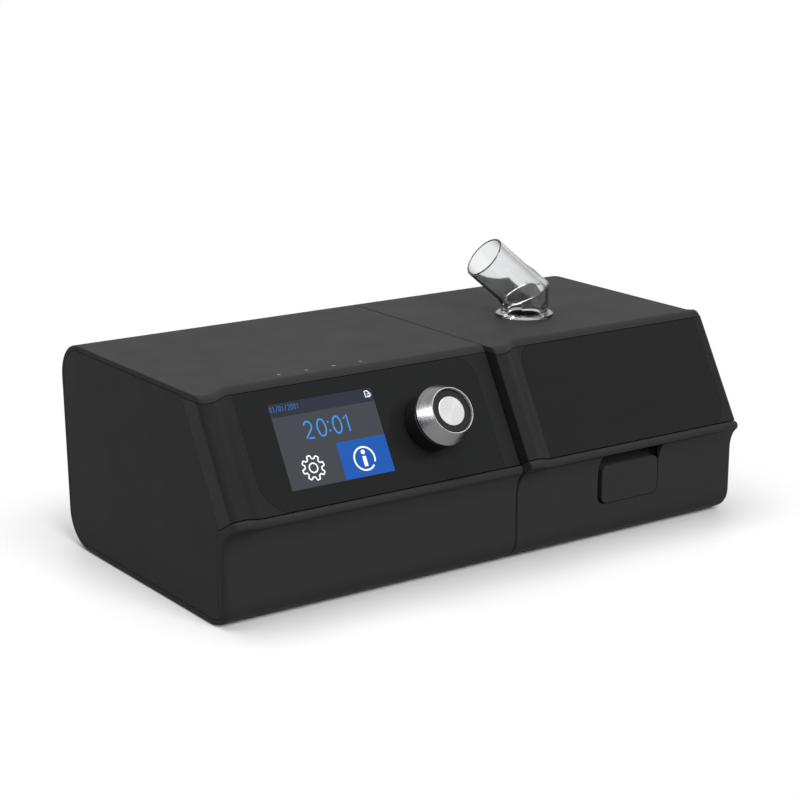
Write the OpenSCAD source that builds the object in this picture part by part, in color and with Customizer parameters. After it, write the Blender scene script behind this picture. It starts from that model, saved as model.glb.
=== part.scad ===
// Bilevel breathing machine with a docked humidifier, standing on its feet.
// X runs along the two modules, Y from the front (minus) to the rear, Z up from the floor.

/* [Case] */
// Width of the main module
main_w = 154.6; // [146:0.2:166]
// Width of the humidifier module
hum_w = 135.6; // [130:0.2:146]
// Gap between the two modules
module_gap = 0.4; // [0.3:0.1:0.8]
// Depth from the rear face to the nose of the lip's raised end
case_d = 157; // [152:1:164]
// Height of the case without its feet
case_h = 97.2; // [94:0.1:104]
// Wall thickness of the case
wall = 2.4; // [2:0.1:2.8]
// Thickness of the top, which is also the height of the brow
top_t = 2.7; // [2.4:0.1:3.2]
// Lean of the rear face, outward with height
rear_lean = 2.75; // [1:0.25:5]
// Radius of the edge between the rear face and the top
top_round = 16.6; // [13:0.1:18]
// Radius of the edge between the rear face and the bottom
bottom_round = 17; // [12:0.5:20]
// Radius of the edge between the lower front and the bottom
front_round = 11; // [7:0.5:12.5]
// Height of the main module's joint between the lower case and the top cover
split_h = 73; // [69:1:76]
// Visible width of a seam between two covers
seam_gap = 0.3; // [0.2:0.05:0.5]
// Height of the rubber feet
foot_h = 1.2; // [1:0.1:3]

/* [Slanted front] */
// Steepness of the slanted front below the horizontal
slant = 60; // [57:0.5:63]
// Height of the lip's seam above the bottom of the case
lip_z = 47.1; // [45:0.1:50]
// How far the foot of the slanted front stands before the lower front
lip_reach = 2.6; // [1.5:0.1:4]
// How far the lip's bead stands out of the slanted front
lip_proud = 1; // [0.5:0.1:1.8]
// Radius of the lip's bead
bead_r = 2; // [1.5:0.1:2.5]
// Height of the lip's cove where it meets the lower front
cove_z = 32.2; // [29:0.2:35]
// How far each module's left end is raised out of the slanted front
cheek = 6.1; // [4:0.1:7]
// Flat width of the raised end
cheek_flat = 4.5; // [3.5:0.5:8]
// Width over which the raised end falls to the slanted front
cheek_ramp = 14; // [10:1:18]
// Rounding of the brow
brow_round = 4.6; // [3:0.1:5]
// Rounding of the main module's left front edge
left_round = 4; // [2:0.5:5]
// Rounding of the humidifier's right front edge
right_round = 3.2; // [1:0.2:4]
// Rounding of the humidifier's right top edge
right_top_round = 6.5; // [3:0.5:8]
// Thickness of the slanted fascia
fascia_t = 3.2; // [2.8:0.1:3.6]
// Depth of the fascia's return along the left side
return_d = 8; // [6:0.5:10]
// Thickness of the glossy panels
panel_t = 1.4; // [1:0.1:1.7]
// Distance of the control panel from the main module's left side
control_left = 19.2; // [18:0.1:22]
// Distance of the control panel from the main module's right side
control_right = 9.1; // [7:0.1:11]
// Radius of the control panel's lower left corner
control_foot_r = 17.3; // [12:0.1:20]
// Radius of the control panel's upper right corner
control_top_r = 12.5; // [8:0.1:15]
// Distance of the lid's glossy panel from the humidifier's left side
gloss_left = 17.2; // [16:0.1:21]
// Distance of the lid's glossy panel from the humidifier's right side
gloss_right = 6.6; // [5:0.1:9]
// Radius of the lid panel's lower right corner
gloss_foot_r = 13.5; // [10:0.1:17]
// Radius of the lid panel's upper left corner
gloss_top_r = 11; // [8:0.1:14]

/* [Controls] */
// Width of the visible screen
screen_w = 53.4; // [48:0.2:58]
// Height of the visible screen
screen_h = 38.8; // [34:0.2:42]
// Distance of the screen's centre from the main module's left side
screen_x = 61.3; // [58:0.1:66]
// Height of the screen's centre up the slope from the lip's seam
screen_s = 28.2; // [26:0.1:31]
// Distance of the knob's axis from the main module's left side
knob_x = 112.6; // [109:0.2:118]
// Height of the knob's axis up the slope from the lip's seam
knob_s = 26.8; // [24:0.2:30]
// Radius of the knob's face
knob_face_r = 10.6; // [9.5:0.1:11.5]
// Radius of the knob at its back
knob_back_r = 14; // [12.8:0.1:14.8]
// Height of the knob's cone
knob_cone_h = 8; // [6:0.1:10]
// Height of the collar above the glossy panel
collar_h = 9.6; // [8:0.1:11]
// Radius of the collar
collar_r = 13; // [11:0.1:13.3]
// Radius of the silver cap in the knob's face
cap_r = 6.7; // [5.5:0.1:7.5]
// Push travel of the knob
knob_travel = 1; // [0.6:0.1:1.2]
// Number of status lights on the brow
light_count = 4; // [2:1:5]
// Distance of the first status light from the main module's left side
light_x = 48.3; // [44:0.1:60]
// Distance of the status lights behind the brow's edge
light_back = 7.4; // [6:0.1:8]
// Distance between status lights
light_pitch = 14.2; // [10:0.1:16]
// Radius of a status light
light_r = 1.1; // [0.8:0.1:1.6]

/* [Release button] */
// Width of the release button
button_w = 35; // [30:0.5:38]
// Height of the release button
button_h = 19; // [16:0.2:20]
// Distance of the button's centre from the humidifier's left side
button_x = 68.6; // [64:0.2:74]
// Height of the button's lower edge above the bottom of the case
button_z = 18; // [15:0.5:20]
// Push travel of the button
button_travel = 2; // [1:0.1:2.2]
// Width of the finger gap beside the button
finger_side = 2.9; // [2:0.1:5]
// Depth of the finger recess
recess_d = 6.5; // [5.8:0.1:7]

/* [Outlet elbow] */
// Distance of the elbow's axis from the humidifier's left side
elbow_x = 56; // [50:0.5:64]
// Distance of the elbow's axis from the rear face
elbow_y = 79.9; // [74:0.1:86]
// Radius of the hose connector, half of 22 mm
outlet_r = 11; // [10.5:0.1:11.5]
// Length of the hose connector
outlet_len = 20.5; // [18:0.5:22]
// Radius of the elbow's wider tube
elbow_r = 11.6; // [11.4:0.1:12.2]
// Inner radius of the elbow
elbow_bore = 9.4; // [8.8:0.1:9.8]
// Radius of the elbow's flange
flange_r = 14.1; // [13.2:0.1:15]
// Height of the bend's centre above the top of the case
bend_h = 10.8; // [10:0.1:13]
// Length of the slanted tube from the bend's centre
elbow_len = 29.8; // [28:0.1:33]
// Direction of the slanted tube around the upright axis
elbow_turn = 168; // [150:1:200]
// Tilt of the slanted tube from the upright
elbow_tilt = 49; // [40:1:56]
// Radius of the hole below the elbow
spigot_bore = 8.25; // [7.6:0.05:8.4]

/* [Inside] */
// Outer radius of the blower housing
blower_r = 34; // [31:0.5:35]
// Height of the blower housing
blower_h = 24; // [22:0.5:26]
// Number of impeller blades
blade_count = 12; // [8:1:16]
// Radius of the air passage between blower and tub
port_r = 8; // [7:0.1:8.5]
// Length of the water tub from front to rear
tub_d = 116; // [110:1:118]
// Height of the water tub
tub_h = 49.5; // [46:0.5:52]
// Wall of the water tub
tub_wall = 2; // [1.6:0.1:2.4]
// Length of the heater plate
heater_w = 90; // [80:1:96]
// Depth of the heater plate
heater_d = 70; // [60:1:76]

/* [Hidden] */
$fn = 64;

// Small clearances
fit = 0.1;
slip = 0.15;
running = 0.05;
seat = 0.3;
hair = 0.05;

// Colours
black = "#26272a";
dark = "#37393d";
board_green = "#1f5a3a";
metal = "#b9bcc0";
rubber = "#1b1c1e";
clear = [0.85, 0.9, 0.93, 0.4];

// Places of the two modules
x_left = -(main_w + module_gap + hum_w) / 2;
x_main = x_left + main_w;
x_hum = x_main + module_gap;
x_right = x_hum + hum_w;
z_bot = foot_h;
z_top = z_bot + case_h;
z_in = z_bot + wall;
z_under = z_top - top_t;
z_split = z_bot + split_h;
y_back = case_d / 2;

// Directions down the slanted front and out of it, in the plane of Y and Z
down = [-cos(slant), -sin(slant)];
out = [-sin(slant), cos(slant)];
seam_y = -case_d / 2 + bead_r * (1 + cos(slant)) + sin(slant) * (lip_proud - bead_r + cheek);
seam_z = z_bot + lip_z;
apex_y = seam_y + (case_h - lip_z) / tan(slant);
front_y = seam_y + lip_reach;
slope_len = (case_h - lip_z) / sin(slant);

// The tub and heater are given for a case 157 deep and 97.2 high with a humidifier 135.6 wide,
// screen and knob for a slope 57.85 long, and all of them follow the case where it differs
more_d = case_d - 157;
more_h = case_h - 97.2;
more_hum = hum_w - 135.6;
slope_k = slope_len / 57.85;
glass_h = screen_h * slope_k;
glass_s = screen_s * slope_k;
knob_up = knob_s * slope_k;
tub_len = tub_d + more_d;
tub_high = tub_h + more_h;
plate_w = heater_w + more_hum;
plate_len = heater_d + more_d;

// Rear edges: both roundings touch the leaning face
rear_c = [y_back - top_round, z_top - top_round];
low_c = [
    rear_c.x + (top_round - bottom_round - (rear_c.y - z_bot - bottom_round) * sin(rear_lean))
        / cos(rear_lean),
    z_bot + bottom_round];

// Y of the leaning rear face at height z
function rear_at(z) =
    rear_c.x + top_round * cos(rear_lean)
    - (rear_c.y - top_round * sin(rear_lean) - z) * tan(rear_lean);

// Y at height z of a plane parallel to the slanted front, n outside it
function slant_y(z, n) = apex_y - (z_top - z) / tan(slant) - n / sin(slant);

// Points on an arc
function arc(c, r, a0, a1, steps) =
    [for (i = [0:steps]) let (a = a0 + (a1 - a0) * i / steps) c + r * [cos(a), sin(a)]];

// Loss of width at distance d from an end that is rounded with radius r
function corner(d, r) = d >= r ? 0 : d <= 0 ? r : r - sqrt(r * r - (r - d) * (r - d));

// Flat width of the raised end, never less than the rounding of the front edge
flat_w = max(cheek_flat, left_round + seat);

// Share of the raised end that is left at distance d from the module's left side
function ramp(d) =
    let (u = min(max((d - flat_w) / cheek_ramp, 0), 1)) (1 + cos(180 * u)) / 2;

// Stations along X: the left rounding, the fall of the raised end, the right rounding
function stations(x0, x1, rl, rr) = concat(
    [for (a = [0:30:90]) x0 + rl * (1 - cos(a))],
    [for (i = [0:7]) x0 + flat_w + cheek_ramp * i / 7],
    [for (a = [90:-15:0]) x1 - rr * (1 - cos(a))]);

// Height of the slanted front above its plane at x
function rise_at(x, x0, x1, rl, rr) =
    cheek * ramp(x - x0) - corner(x - x0, rl) - corner(x1 - x, rr);

// Closed side outline for a front raised by o along its normal, a lower front drawn in by s,
// a top lowered by k and a brow lowered by kb
function case_outline(o, s, k, kb) =
    let (
        brow_edge = brow_round * tan(slant / 2),
        brow_c = [apex_y - o / sin(slant) + brow_edge, z_top - brow_round - kb],
        bead_c = [seam_y, seam_z] + o * out + bead_r * down + (lip_proud - bead_r) * out,
        bead = arc(bead_c, bead_r, slant, slant + 180, 6),
        low_y = front_y + s,
        cove_end = bead[6],
        cove_foot = [low_y, z_bot + cove_z],
        rise = cove_end.y - cove_foot.y,
        depth = cove_foot.x - cove_end.x,
        sweep = 53)
    concat(
        arc(low_c, bottom_round, -90, -rear_lean, 5),
        [for (p = arc(rear_c, top_round, -rear_lean, 90, 6)) p - [0, k]],
        [[brow_c.x + 3, z_top - k]],
        arc(brow_c, brow_round, 90, 90 + slant, 4),
        bead,
        [for (i = [4:-1:0]) let (a = sweep * i / 5)
            cove_foot + [-depth * (1 - cos(a)) / (1 - cos(sweep)), rise * sin(a) / sin(sweep)]],
        arc([low_y + front_round, z_bot + front_round], front_round, 180, 270, 5));

// Solid between outlines of equal length, each a list of points in space
module loft(rings) {
    m = len(rings[0]);
    n = len(rings);
    polyhedron(
        points = [for (ring = rings) each ring],
        faces = concat(
            [[for (j = [0:m - 1]) j]],
            [[for (j = [m - 1:-1:0]) (n - 1) * m + j]],
            [for (i = [0:n - 2], j = [0:m - 1])
                [i * m + j, (i + 1) * m + j, (i + 1) * m + (j + 1) % m]],
            [for (i = [0:n - 2], j = [0:m - 1])
                [i * m + j, (i + 1) * m + (j + 1) % m, i * m + (j + 1) % m]]));
}

// Outer form of one module: a loft that runs past both ends and is cut off there
module case_solid(x0, x1, rl, rr, rt) {
    difference() {
        loft([for (x = concat([x0 - 1], stations(x0, x1, rl, max(rr, rt)), [x1 + 1]))
            let (
                s = corner(x - x0, rl) + corner(x1 - x, rr),
                o = rise_at(x, x0, x1, rl, rr),
                k = corner(x1 - x, rt))
            [for (p = case_outline(o, s, k, min(k, s, 0.7 * top_t))) [x, p.x, p.y]]]);
        for (x = [x0 - 2, x1]) block([x, -case_d, -case_h], [x + 2, case_d, 2 * case_h]);
    }
}

// Outline in Y and Z carried along X
module along_x(x0, x1) {
    translate([x0, 0, 0]) rotate([90, 0, 90]) linear_extrude(x1 - x0) children();
}

// Frame on the slanted front: X along the modules, Y up the slope from the lip's seam, Z outward
module on_slant() {
    translate([0, seam_y, seam_z]) rotate([slant, 0, 0]) children();
}

// Outline in X and Z of that frame carried up the slope
module up_slope(len) {
    translate([0, len, 0]) rotate([90, 0, 0]) linear_extrude(len) children();
}

// Frame on the leaning rear face at (x, z): Y outward, Z up the face
module on_rear(x, z) {
    translate([x, rear_at(z), z]) rotate([-rear_lean, 0, 0]) children();
}

// Hollow of a module in Y and Z, drawn in by g
module hollow_2d(g) {
    n = -(fascia_t + fit - hair + g);
    y0 = front_y + wall + g;
    z_knee = seam_z + (y0 - slant_y(seam_z, n)) * tan(slant);
    r_top = top_round - wall - g;
    r_low = bottom_round - wall - g;
    r_front = front_round - wall - g;
    polygon(concat(
        arc(low_c, r_low, -90, -rear_lean, 8),
        arc([rear_c.x, z_under - g - r_top], r_top, -rear_lean, 90, 8),
        [[slant_y(z_under - g, n), z_under - g], [y0, z_knee]],
        arc([y0 + r_front, z_in + g + r_front], r_front, 180, 270, 8)));
}

// Space of the slanted fascia in Y and Z, down to the given depth below its face
module fascia_space_2d(depth) {
    far = cheek + 4;
    near = -(depth + fit);
    polygon([
        [slant_y(z_under, near), z_under],
        [slant_y(z_under, far), z_under],
        [seam_y, seam_z] + far * out + hair * down,
        [seam_y, seam_z] + near * out + hair * down]);
}

// Block between two corners
module block(a, b) {
    translate(a) cube(b - a);
}

// Tube along the given height
module tube(r_out, r_in, h) {
    difference() {
        cylinder(r = r_out, h = h);
        translate([0, 0, -1]) cylinder(r = r_in, h = h + 2);
    }
}

// Corner points of a panel outline, rounded by r around its centre c from angle a
function panel_corner(p, r, toward, a) =
    r == 0 ? [p] : arc(p + r * toward, r, a, a + 90, 6);

// Outline of a glossy panel with its own radius at each corner
module panel_2d(x0, x1, s0, s1, r_bl, r_br, r_tr, r_tl) {
    polygon(concat(
        panel_corner([x0, s0], r_bl, [1, 1], 180),
        panel_corner([x1, s0], r_br, [-1, 1], 270),
        panel_corner([x1, s1], r_tr, [-1, -1], 0),
        panel_corner([x0, s1], r_tl, [1, -1], 90)));
}

// Upper end of the fascia on the slope, at its face, and how far the panels' outlines run past it
s_top = (z_under - seam_gap - seam_z) / sin(slant);
run_out = 1;

// Fascia outline in X and outward direction, with a return of the given depth at its left end
module fascia_2d(x0, x1, rl, rr, depth) {
    foot = x0 + flat_w + cheek_ramp;
    polygon(concat(
        [[x0, -depth]],
        [for (x = stations(x0, x1, rl, rr)) [x, rise_at(x, x0, x1, rl, rr)]],
        [[x1, -fascia_t], [foot, -fascia_t]],
        [for (i = [6:-1:0]) let (d = flat_w + cheek_ramp * i / 7)
            [x0 + d, cheek * ramp(d) - fascia_t]],
        [[x0 + wall, cheek - fascia_t], [x0 + wall, -depth]]));
}

// Fascia body without its cut-outs
module fascia_body(x0, x1, rl, rr, depth) {
    difference() {
        on_slant() translate([0, seam_gap, 0]) up_slope(slope_len + cheek)
            fascia_2d(x0, x1, rl, rr, depth);
        translate([x0 - 1, -case_d, z_under - seam_gap]) cube([x1 - x0 + 2, 2 * case_d, case_h]);
    }
}

// Opening for the left end panel in Y and Z, drawn in by g, and by lead at its front edges
module end_2d(g, lead) {
    n = -(return_d + fit + lead);
    y = front_y + end_front + lead;
    intersection() {
        hollow_2d(g - rim);
        polygon([
            [y, 0],
            [case_d, 0],
            [case_d, 2 * case_h],
            [slant_y(2 * case_h, n), 2 * case_h],
            [slant_y(z_end(lead), n), z_end(lead)],
            [y, z_end(lead)]]);
    }
}

// Height where the end panel's front edge turns into the slope
function z_end(g) =
    seam_z + (front_y + end_front + g - slant_y(seam_z, -(return_d + fit + g))) * tan(slant);

rim = 0.4;
end_front = 6;
end_t = 1.5;
ledge = 1.6;

// Places of the inner parts of the main module
blower_c = [x_left + 83, y_back - 60.5];
port_z = z_bot + case_h / 2 + 0.15;
port_y = blower_c.y + blower_r - port_r - 1.5;
blower_z = port_z - blower_h / 2;
duct_t = 2;
mount_h = 4;
mount_r = 5;
post_r = 4;
screw_r = 1.5;
post_x = [x_left + 10, x_main - 10];
post_y = [apex_y + 16.7, y_back - 20.5];
board_z = z_bot + 8.8;
mount_at = [for (a = [90, 210, 330]) blower_c + (blower_r - 7) * [cos(a), sin(a)]];
intake_x = x_left + 37;
intake_z = z_bot + 40;
intake_w = 36;
intake_h = 34;
jack_x = x_main - 26;
jack_z = z_bot + 24;
jack_r = 6;
card_x = x_main - 62;
card_z = z_bot + 20;
card_w = 24;
card_t = 2.1;
card_len = 22;

// Upper case of the main module: rear, top and brow
module main_top_cover() {
    color(black) difference() {
        case_solid(x_left, x_main, left_round, 0.8, 0.5);
        translate([x_left - 1, -case_d, -1]) cube([main_w + 2, 2 * case_d, z_split + seam_gap + 1]);
        main_hollow();
        for (i = [0:light_count - 1])
            translate([light_at(i), light_y, z_under - 1]) cylinder(r = light_r + hair, h = top_t + 2);
    }
    color(black) for (x = post_x, y = post_y)
        translate([x, y, z_split + seam_gap]) difference() {
            cylinder(r = post_r, h = z_under - z_split - seam_gap + 0.5);
            translate([0, 0, -1]) cylinder(r = screw_r, h = 11);
        }
}

// Everything that both case halves of the main module leave free
module main_hollow() {
    along_x(x_left + wall, x_main + 1) hollow_2d(0);
    along_x(x_left - 1, x_left + end_t) end_2d(0, -hair);
    along_x(x_left, x_left + wall + 1) end_2d(ledge, ledge);
    along_x(x_left - 1, x_main + 1) fascia_space_2d(fascia_t);
    along_x(x_left - 1, x_left + wall + fit) fascia_space_2d(return_d);
}

// Lower case of the main module: rear, floor, lower front and lip
module main_base() {
    color(black) difference() {
        union() {
            difference() {
                case_solid(x_left, x_main, left_round, 0.8, 0.5);
                translate([x_left - 1, -case_d, z_split]) cube([main_w + 2, 2 * case_d, case_h]);
                main_hollow();
            }
            on_rear(intake_x, intake_z) translate([-intake_w / 2 - 4, -frame_t, -intake_h / 2 - 4])
                cube([intake_w + 8, frame_t - wall / 2, intake_h + 8]);
            for (x = post_x, y = post_y)
                translate([x, y, z_bot + 1]) cylinder(r = post_r, h = z_split - z_bot - 1);
            for (p = mount_at)
                translate([p.x, p.y, z_bot + 1])
                    cylinder(r = mount_r, h = blower_z - mount_h - z_bot - 1);
            for (x = board_posts, y = board_post_y)
                translate([x, y, z_bot + 1]) cylinder(r = 3, h = board_z - z_bot - 1);
        }
        for (x = post_x, y = post_y) translate([x, y, z_bot - 1]) {
            cylinder(r = screw_r + slip, h = case_h);
            cylinder(r = 3.3, h = 4);
        }
        on_rear(intake_x, intake_z) {
            translate([0, -4, 0]) cube([intake_w, 16, intake_h], center = true);
            translate([-intake_w / 2 - 3.2, -hinge_depth, flap_z]) rotate([0, 90, 0])
                cylinder(r = 1.2 + running, h = intake_w + 6.4);
        }
        on_rear(jack_x, jack_z) rotate([90, 0, 0])
            translate([0, 0, -2]) cylinder(r = jack_r + fit, h = 12);
        on_rear(card_x, card_z) translate([-card_w / 2 - 1, -6, -card_t / 2 - 1])
            cube([card_w + 2, 12, card_t + 2]);
        on_slant() translate([x_left + screen_x, glass_s, 0])
            screen_frame(seat, -screen_n - 4, 0);
    }
}

frame_t = 5.2;
hinge_depth = 2.2;
flap_z = -intake_h / 2 + 2.6;
board_posts = [x_left + 24, x_main - 24];
board_y = [front_y + 6, mount_at[1].y - mount_r - 9.7];
board_post_y = [board_y[0] + 6, board_y[1] - 8];

// Flat panel that closes the left end
module end_panel() {
    color(black) along_x(x_left, x_left + end_t) end_2d(seam_gap, fit);
}

// Wall towards the humidifier
module port_wall() {
    color(dark) difference() {
        along_x(x_main - wall, x_main - 0.2) hollow_2d(fit);
        translate([x_main - wall - 1, port_y, port_z]) rotate([0, 90, 0])
            cylinder(r = port_r + duct_t + fit, h = wall + 2);
        for (y = dock_y) translate([x_main - wall - 1, y, dock_z]) rotate([0, 90, 0])
            cylinder(r = dock_r + fit, h = wall + 2);
        block([x_main - wall - 1, -12 - slip, contact_z - 5 - slip],
            [x_main + 1, 12 + slip, contact_z + 5 + slip]);
    }
}

dock_y = [front_y + 30.2, y_back - 20.5];
dock_z = z_bot + 24;
dock_r = 3;
contact_z = z_bot + 20;

// Slanted fascia of the main module
module main_fascia() {
    color(black) difference() {
        fascia_body(x_left, x_main, left_round, 0.8, return_d);
        on_slant() {
            translate([0, 0, -panel_t]) linear_extrude(cheek + 10) control_2d(-fit);
            translate([x_left + screen_x, glass_s, 0])
                cube([screen_w + 2.2, glass_h + 2.2, 20], center = true);
            translate([x_left + knob_x, knob_up, -10]) cylinder(r = 9, h = 20);
        }
    }
}

// Glossy panel outline on the slope, drawn in by g
module control_2d(g) {
    panel_2d(x_left + control_left + g, x_main - control_right - g, -run_out + g, s_top + run_out - g,
        control_foot_r, 0, control_top_r, 0);
}

// Glossy black panel around screen and knob
module control_panel() {
    color("#141519") difference() {
        on_slant() translate([0, 0, -panel_t]) linear_extrude(panel_t) intersection() {
            control_2d(0);
            translate([x_left, seam_gap]) square([main_w, s_top - seam_gap]);
        }
        on_slant() {
            translate([x_left + screen_x, glass_s, 0]) cube([screen_w, glass_h, 8], center = true);
            translate([x_left + knob_x, knob_up, -4]) cylinder(r = 9, h = 8);
        }
        translate([x_left, -case_d, z_under - seam_gap]) cube([main_w, 2 * case_d, case_h]);
    }
}

board_n = 9;
board_t = 1.6;
board_top = 2.4;
screen_n = board_n - seat;
frame_left = 4;
frame_side = 3;

// Block of the screen's metal frame, enlarged by g, between two depths
module screen_frame(g, n0, n1) {
    block([-screen_w / 2 - frame_left - g, -glass_h / 2 - frame_side - g, n0],
        [screen_w / 2 + frame_side + g, glass_h / 2 + frame_side + g, n1]);
}

// Screen with its raised glass and metal frame
module screen_module() {
    color("#0b1420") on_slant() translate([x_left + screen_x, glass_s, 0]) {
        block([-screen_w / 2 + fit, -glass_h / 2 + fit, -panel_t - 1.9],
            [screen_w / 2 - fit, glass_h / 2 - fit, -0.12]);
        block([-screen_w / 2 - 1, -glass_h / 2 - 1, -screen_n],
            [screen_w / 2 + 1, glass_h / 2 + 1, -fascia_t + 1.3]);
        screen_frame(0, -screen_n, -fascia_t - seat);
    }
}

// Board behind the screen and knob, on two ribs' height behind the fascia
module display_board() {
    color(board_green) on_slant() difference() {
        union() {
            block([x_left + 14, 4, -board_n - board_t],
                [x_main - 12, slope_len - board_top, -board_n]);
            block([x_left + 18, 10 * slope_k, -board_n - 5], [x_left + 30, 40 * slope_k, -board_n - 1]);
            block([x_main - 62, 44 * slope_k, -board_n - 4],
                [x_main - 38, 50 * slope_k, -board_n - 1]);
        }
        translate([x_left + knob_x, knob_up, -board_n - 10]) cylinder(r = 5, h = 12);
    }
}

// Frame at the knob: Z is its axis, from the glossy panel outward
module at_knob(n) {
    on_slant() translate([x_left + knob_x, knob_up, n]) children();
}

post_pin_r = 3;
encoder_h = 2;
skirt_h = 1;
ring_n = collar_h + knob_travel + seat;
cone_n = ring_n + skirt_h;
face_n = cone_n + knob_cone_h;
face_sink = 1.3;
rim_w = 0.45;
core_r = knob_face_r - 1;
cap_floor = knob_cone_h - 1.6;
cap_h = 1.9;

// Fixed collar under the knob, clamped through the panel
module knob_collar() {
    color(black) at_knob(0) {
        difference() {
            union() {
                cylinder(r = collar_r, h = collar_h);
                translate([0, 0, -fascia_t - 2]) cylinder(r = 8.8, h = fascia_t + 3);
            }
            translate([0, 0, -fascia_t - 3]) cylinder(r = 7, h = fascia_t + collar_h + 1);
            cylinder(r = post_pin_r + seat, h = collar_h + 1);
        }
    }
}

// Post that is pushed with the knob but does not turn
module knob_post() {
    color(metal) {
        at_knob(-board_n - 4) cylinder(r = post_pin_r, h = board_n + 4 + face_n - 4);
        at_knob(-board_n + encoder_h + knob_travel + seat) cylinder(r = 4.6, h = 1.2);
    }
}

// Encoder body around the post
module encoder_ring() {
    color(dark) at_knob(-board_n) {
        difference() {
            translate([-7, -7, 0]) cube([14, 14, encoder_h]);
            translate([0, 0, -1]) cylinder(r = post_pin_r + seat, h = encoder_h + 2);
        }
    }
}

// Aluminium shell of the knob with its narrow rim
module knob_shell() {
    color("silver") at_knob(cone_n) rotate_extrude()
        polygon([[core_r, 0], [knob_back_r, 0], [knob_face_r, knob_cone_h],
            [knob_face_r - rim_w, knob_cone_h], [core_r, knob_cone_h - face_sink]]);
}

// Black core of the knob with its skirt at the back
module knob_core() {
    color(rubber) at_knob(ring_n) difference() {
        union() {
            cylinder(r = knob_back_r - seat, h = skirt_h);
            cylinder(r = core_r, h = skirt_h + knob_cone_h - face_sink);
        }
        translate([0, 0, -1]) cylinder(r = post_pin_r + running, h = knob_cone_h - 1.5);
        translate([0, 0, cap_floor]) cylinder(r = cap_r, h = 5);
    }
}

// Silver cap in the middle of the knob
module knob_cap() {
    color("silver") at_knob(ring_n + cap_floor) rotate_extrude() polygon([
        [0, 0], [cap_r, 0], [cap_r, cap_h - 0.3], [cap_r - 0.4, cap_h - 0.05], [0, cap_h]]);
}

light_y = apex_y + light_back;
light_len = board_n * cos(slant) + board_top * sin(slant) - seat;
function light_at(i) = x_left + light_x + light_pitch * i;

// Light pipes from the display board to the top
module status_lights() {
    color("#5a5f66") for (i = [0:light_count - 1])
        translate([light_at(i), light_y, z_top - light_len])
            cylinder(r = light_r, h = light_len - hair);
}

// Main board on the floor
module main_board() {
    x0 = x_left + 17;
    x1 = x_main - 17;
    y0 = board_y[0];
    d = board_y[1] - y0;
    low = board_t - fit;
    color(board_green) translate([0, 0, board_z]) {
        block([x0, y0, 0], [x1, y0 + d, board_t]);
        block([x0 + 20, y0 + 0.2 * d, low], [x0 + 38, y0 + 0.7 * d, 3.2]);
        block([x0 + 50, y0 + 0.15 * d, low], [x0 + 60, y0 + 0.42 * d, 3]);
        block([x1 - 14, y0 + 0.15 * d, low], [x1 - 2, y0 + 0.8 * d, 9]);
        for (i = [0:3]) translate([x0 + 66 + 9 * i, y0 + 0.74 * d, low]) cylinder(r = 3.2, h = 9);
    }
}

// Power inlet in the rear wall
module power_inlet() {
    color(black) on_rear(jack_x, jack_z) {
        difference() {
            union() {
                translate([-7, -20, -7]) cube([14, 20 - wall - 0.6, 14]);
                rotate([90, 0, 0]) cylinder(r = jack_r, h = wall + 1);
            }
            rotate([90, 0, 0]) translate([0, 0, -1]) cylinder(r = 3.3, h = 13);
        }
        rotate([90, 0, 0]) translate([0, 0, 1.5]) cylinder(r = 0.9, h = 12);
    }
}

// Card slot behind the rear wall
module card_slot() {
    color(metal) on_rear(card_x, card_z) difference() {
        translate([-card_w / 2 - 1.8, -wall - 0.7 - card_len, -card_t / 2 - 1.6])
            cube([card_w + 3.6, card_len, card_t + 3.2]);
        translate([-card_w / 2 - 0.4, -card_len - 0.8, -card_t / 2 - 0.4])
            cube([card_w + 0.8, card_len + 1, card_t + 0.8]);
    }
}

// Memory card, pushed in level with the rear face
module memory_card() {
    color("#20304a") on_rear(card_x, card_z) translate([-card_w / 2, -card_len - 0.5, -card_t / 2])
        cube([card_w, card_len, card_t]);
}

// Blower housing with its outlet, and the space in it
module blower_solid() {
    translate([blower_c.x, blower_c.y, blower_z]) cylinder(r = blower_r, h = blower_h);
    translate([blower_c.x, port_y, port_z]) rotate([0, 90, 0])
        cylinder(r = port_r + duct_t, h = blower_r + 6);
}

// Block as wide as the blower and its outlet, from height z up
module half_space(z) {
    block([blower_c.x - 2 * blower_r, blower_c.y - 2 * blower_r, z],
        [blower_c.x + 2 * blower_r, blower_c.y + 2 * blower_r, z + 2 * blower_r]);
}

module blower_void() {
    translate([blower_c.x, blower_c.y, blower_z + 2]) cylinder(r = blower_r - 2, h = blower_h - 4);
    translate([blower_c.x, port_y, port_z]) rotate([0, 90, 0])
        cylinder(r = port_r, h = blower_r + 7);
}

// Lower half of the blower housing
module blower_base() {
    color(dark) difference() {
        blower_solid();
        blower_void();
        half_space(port_z);
        translate([blower_c.x, blower_c.y, blower_z - 1]) cylinder(r = 4, h = 4);
    }
}

// Upper half of the blower housing with the inlet
module blower_cover() {
    color(dark) difference() {
        blower_solid();
        blower_void();
        half_space(port_z - 2 * blower_r);
        translate([blower_c.x, blower_c.y, port_z]) cylinder(r = 14, h = 40);
    }
}

motor_h = 16;
shaft_r = 1.5;

// Motor below the housing
module blower_motor() {
    color(metal) translate([blower_c.x, blower_c.y, blower_z - motor_h]) difference() {
        union() {
            cylinder(r = 15, h = motor_h);
            cylinder(r = 3.6, h = motor_h + 1.6);
        }
        translate([0, 0, 1]) cylinder(r = shaft_r + running, h = motor_h + 4);
    }
}

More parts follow.
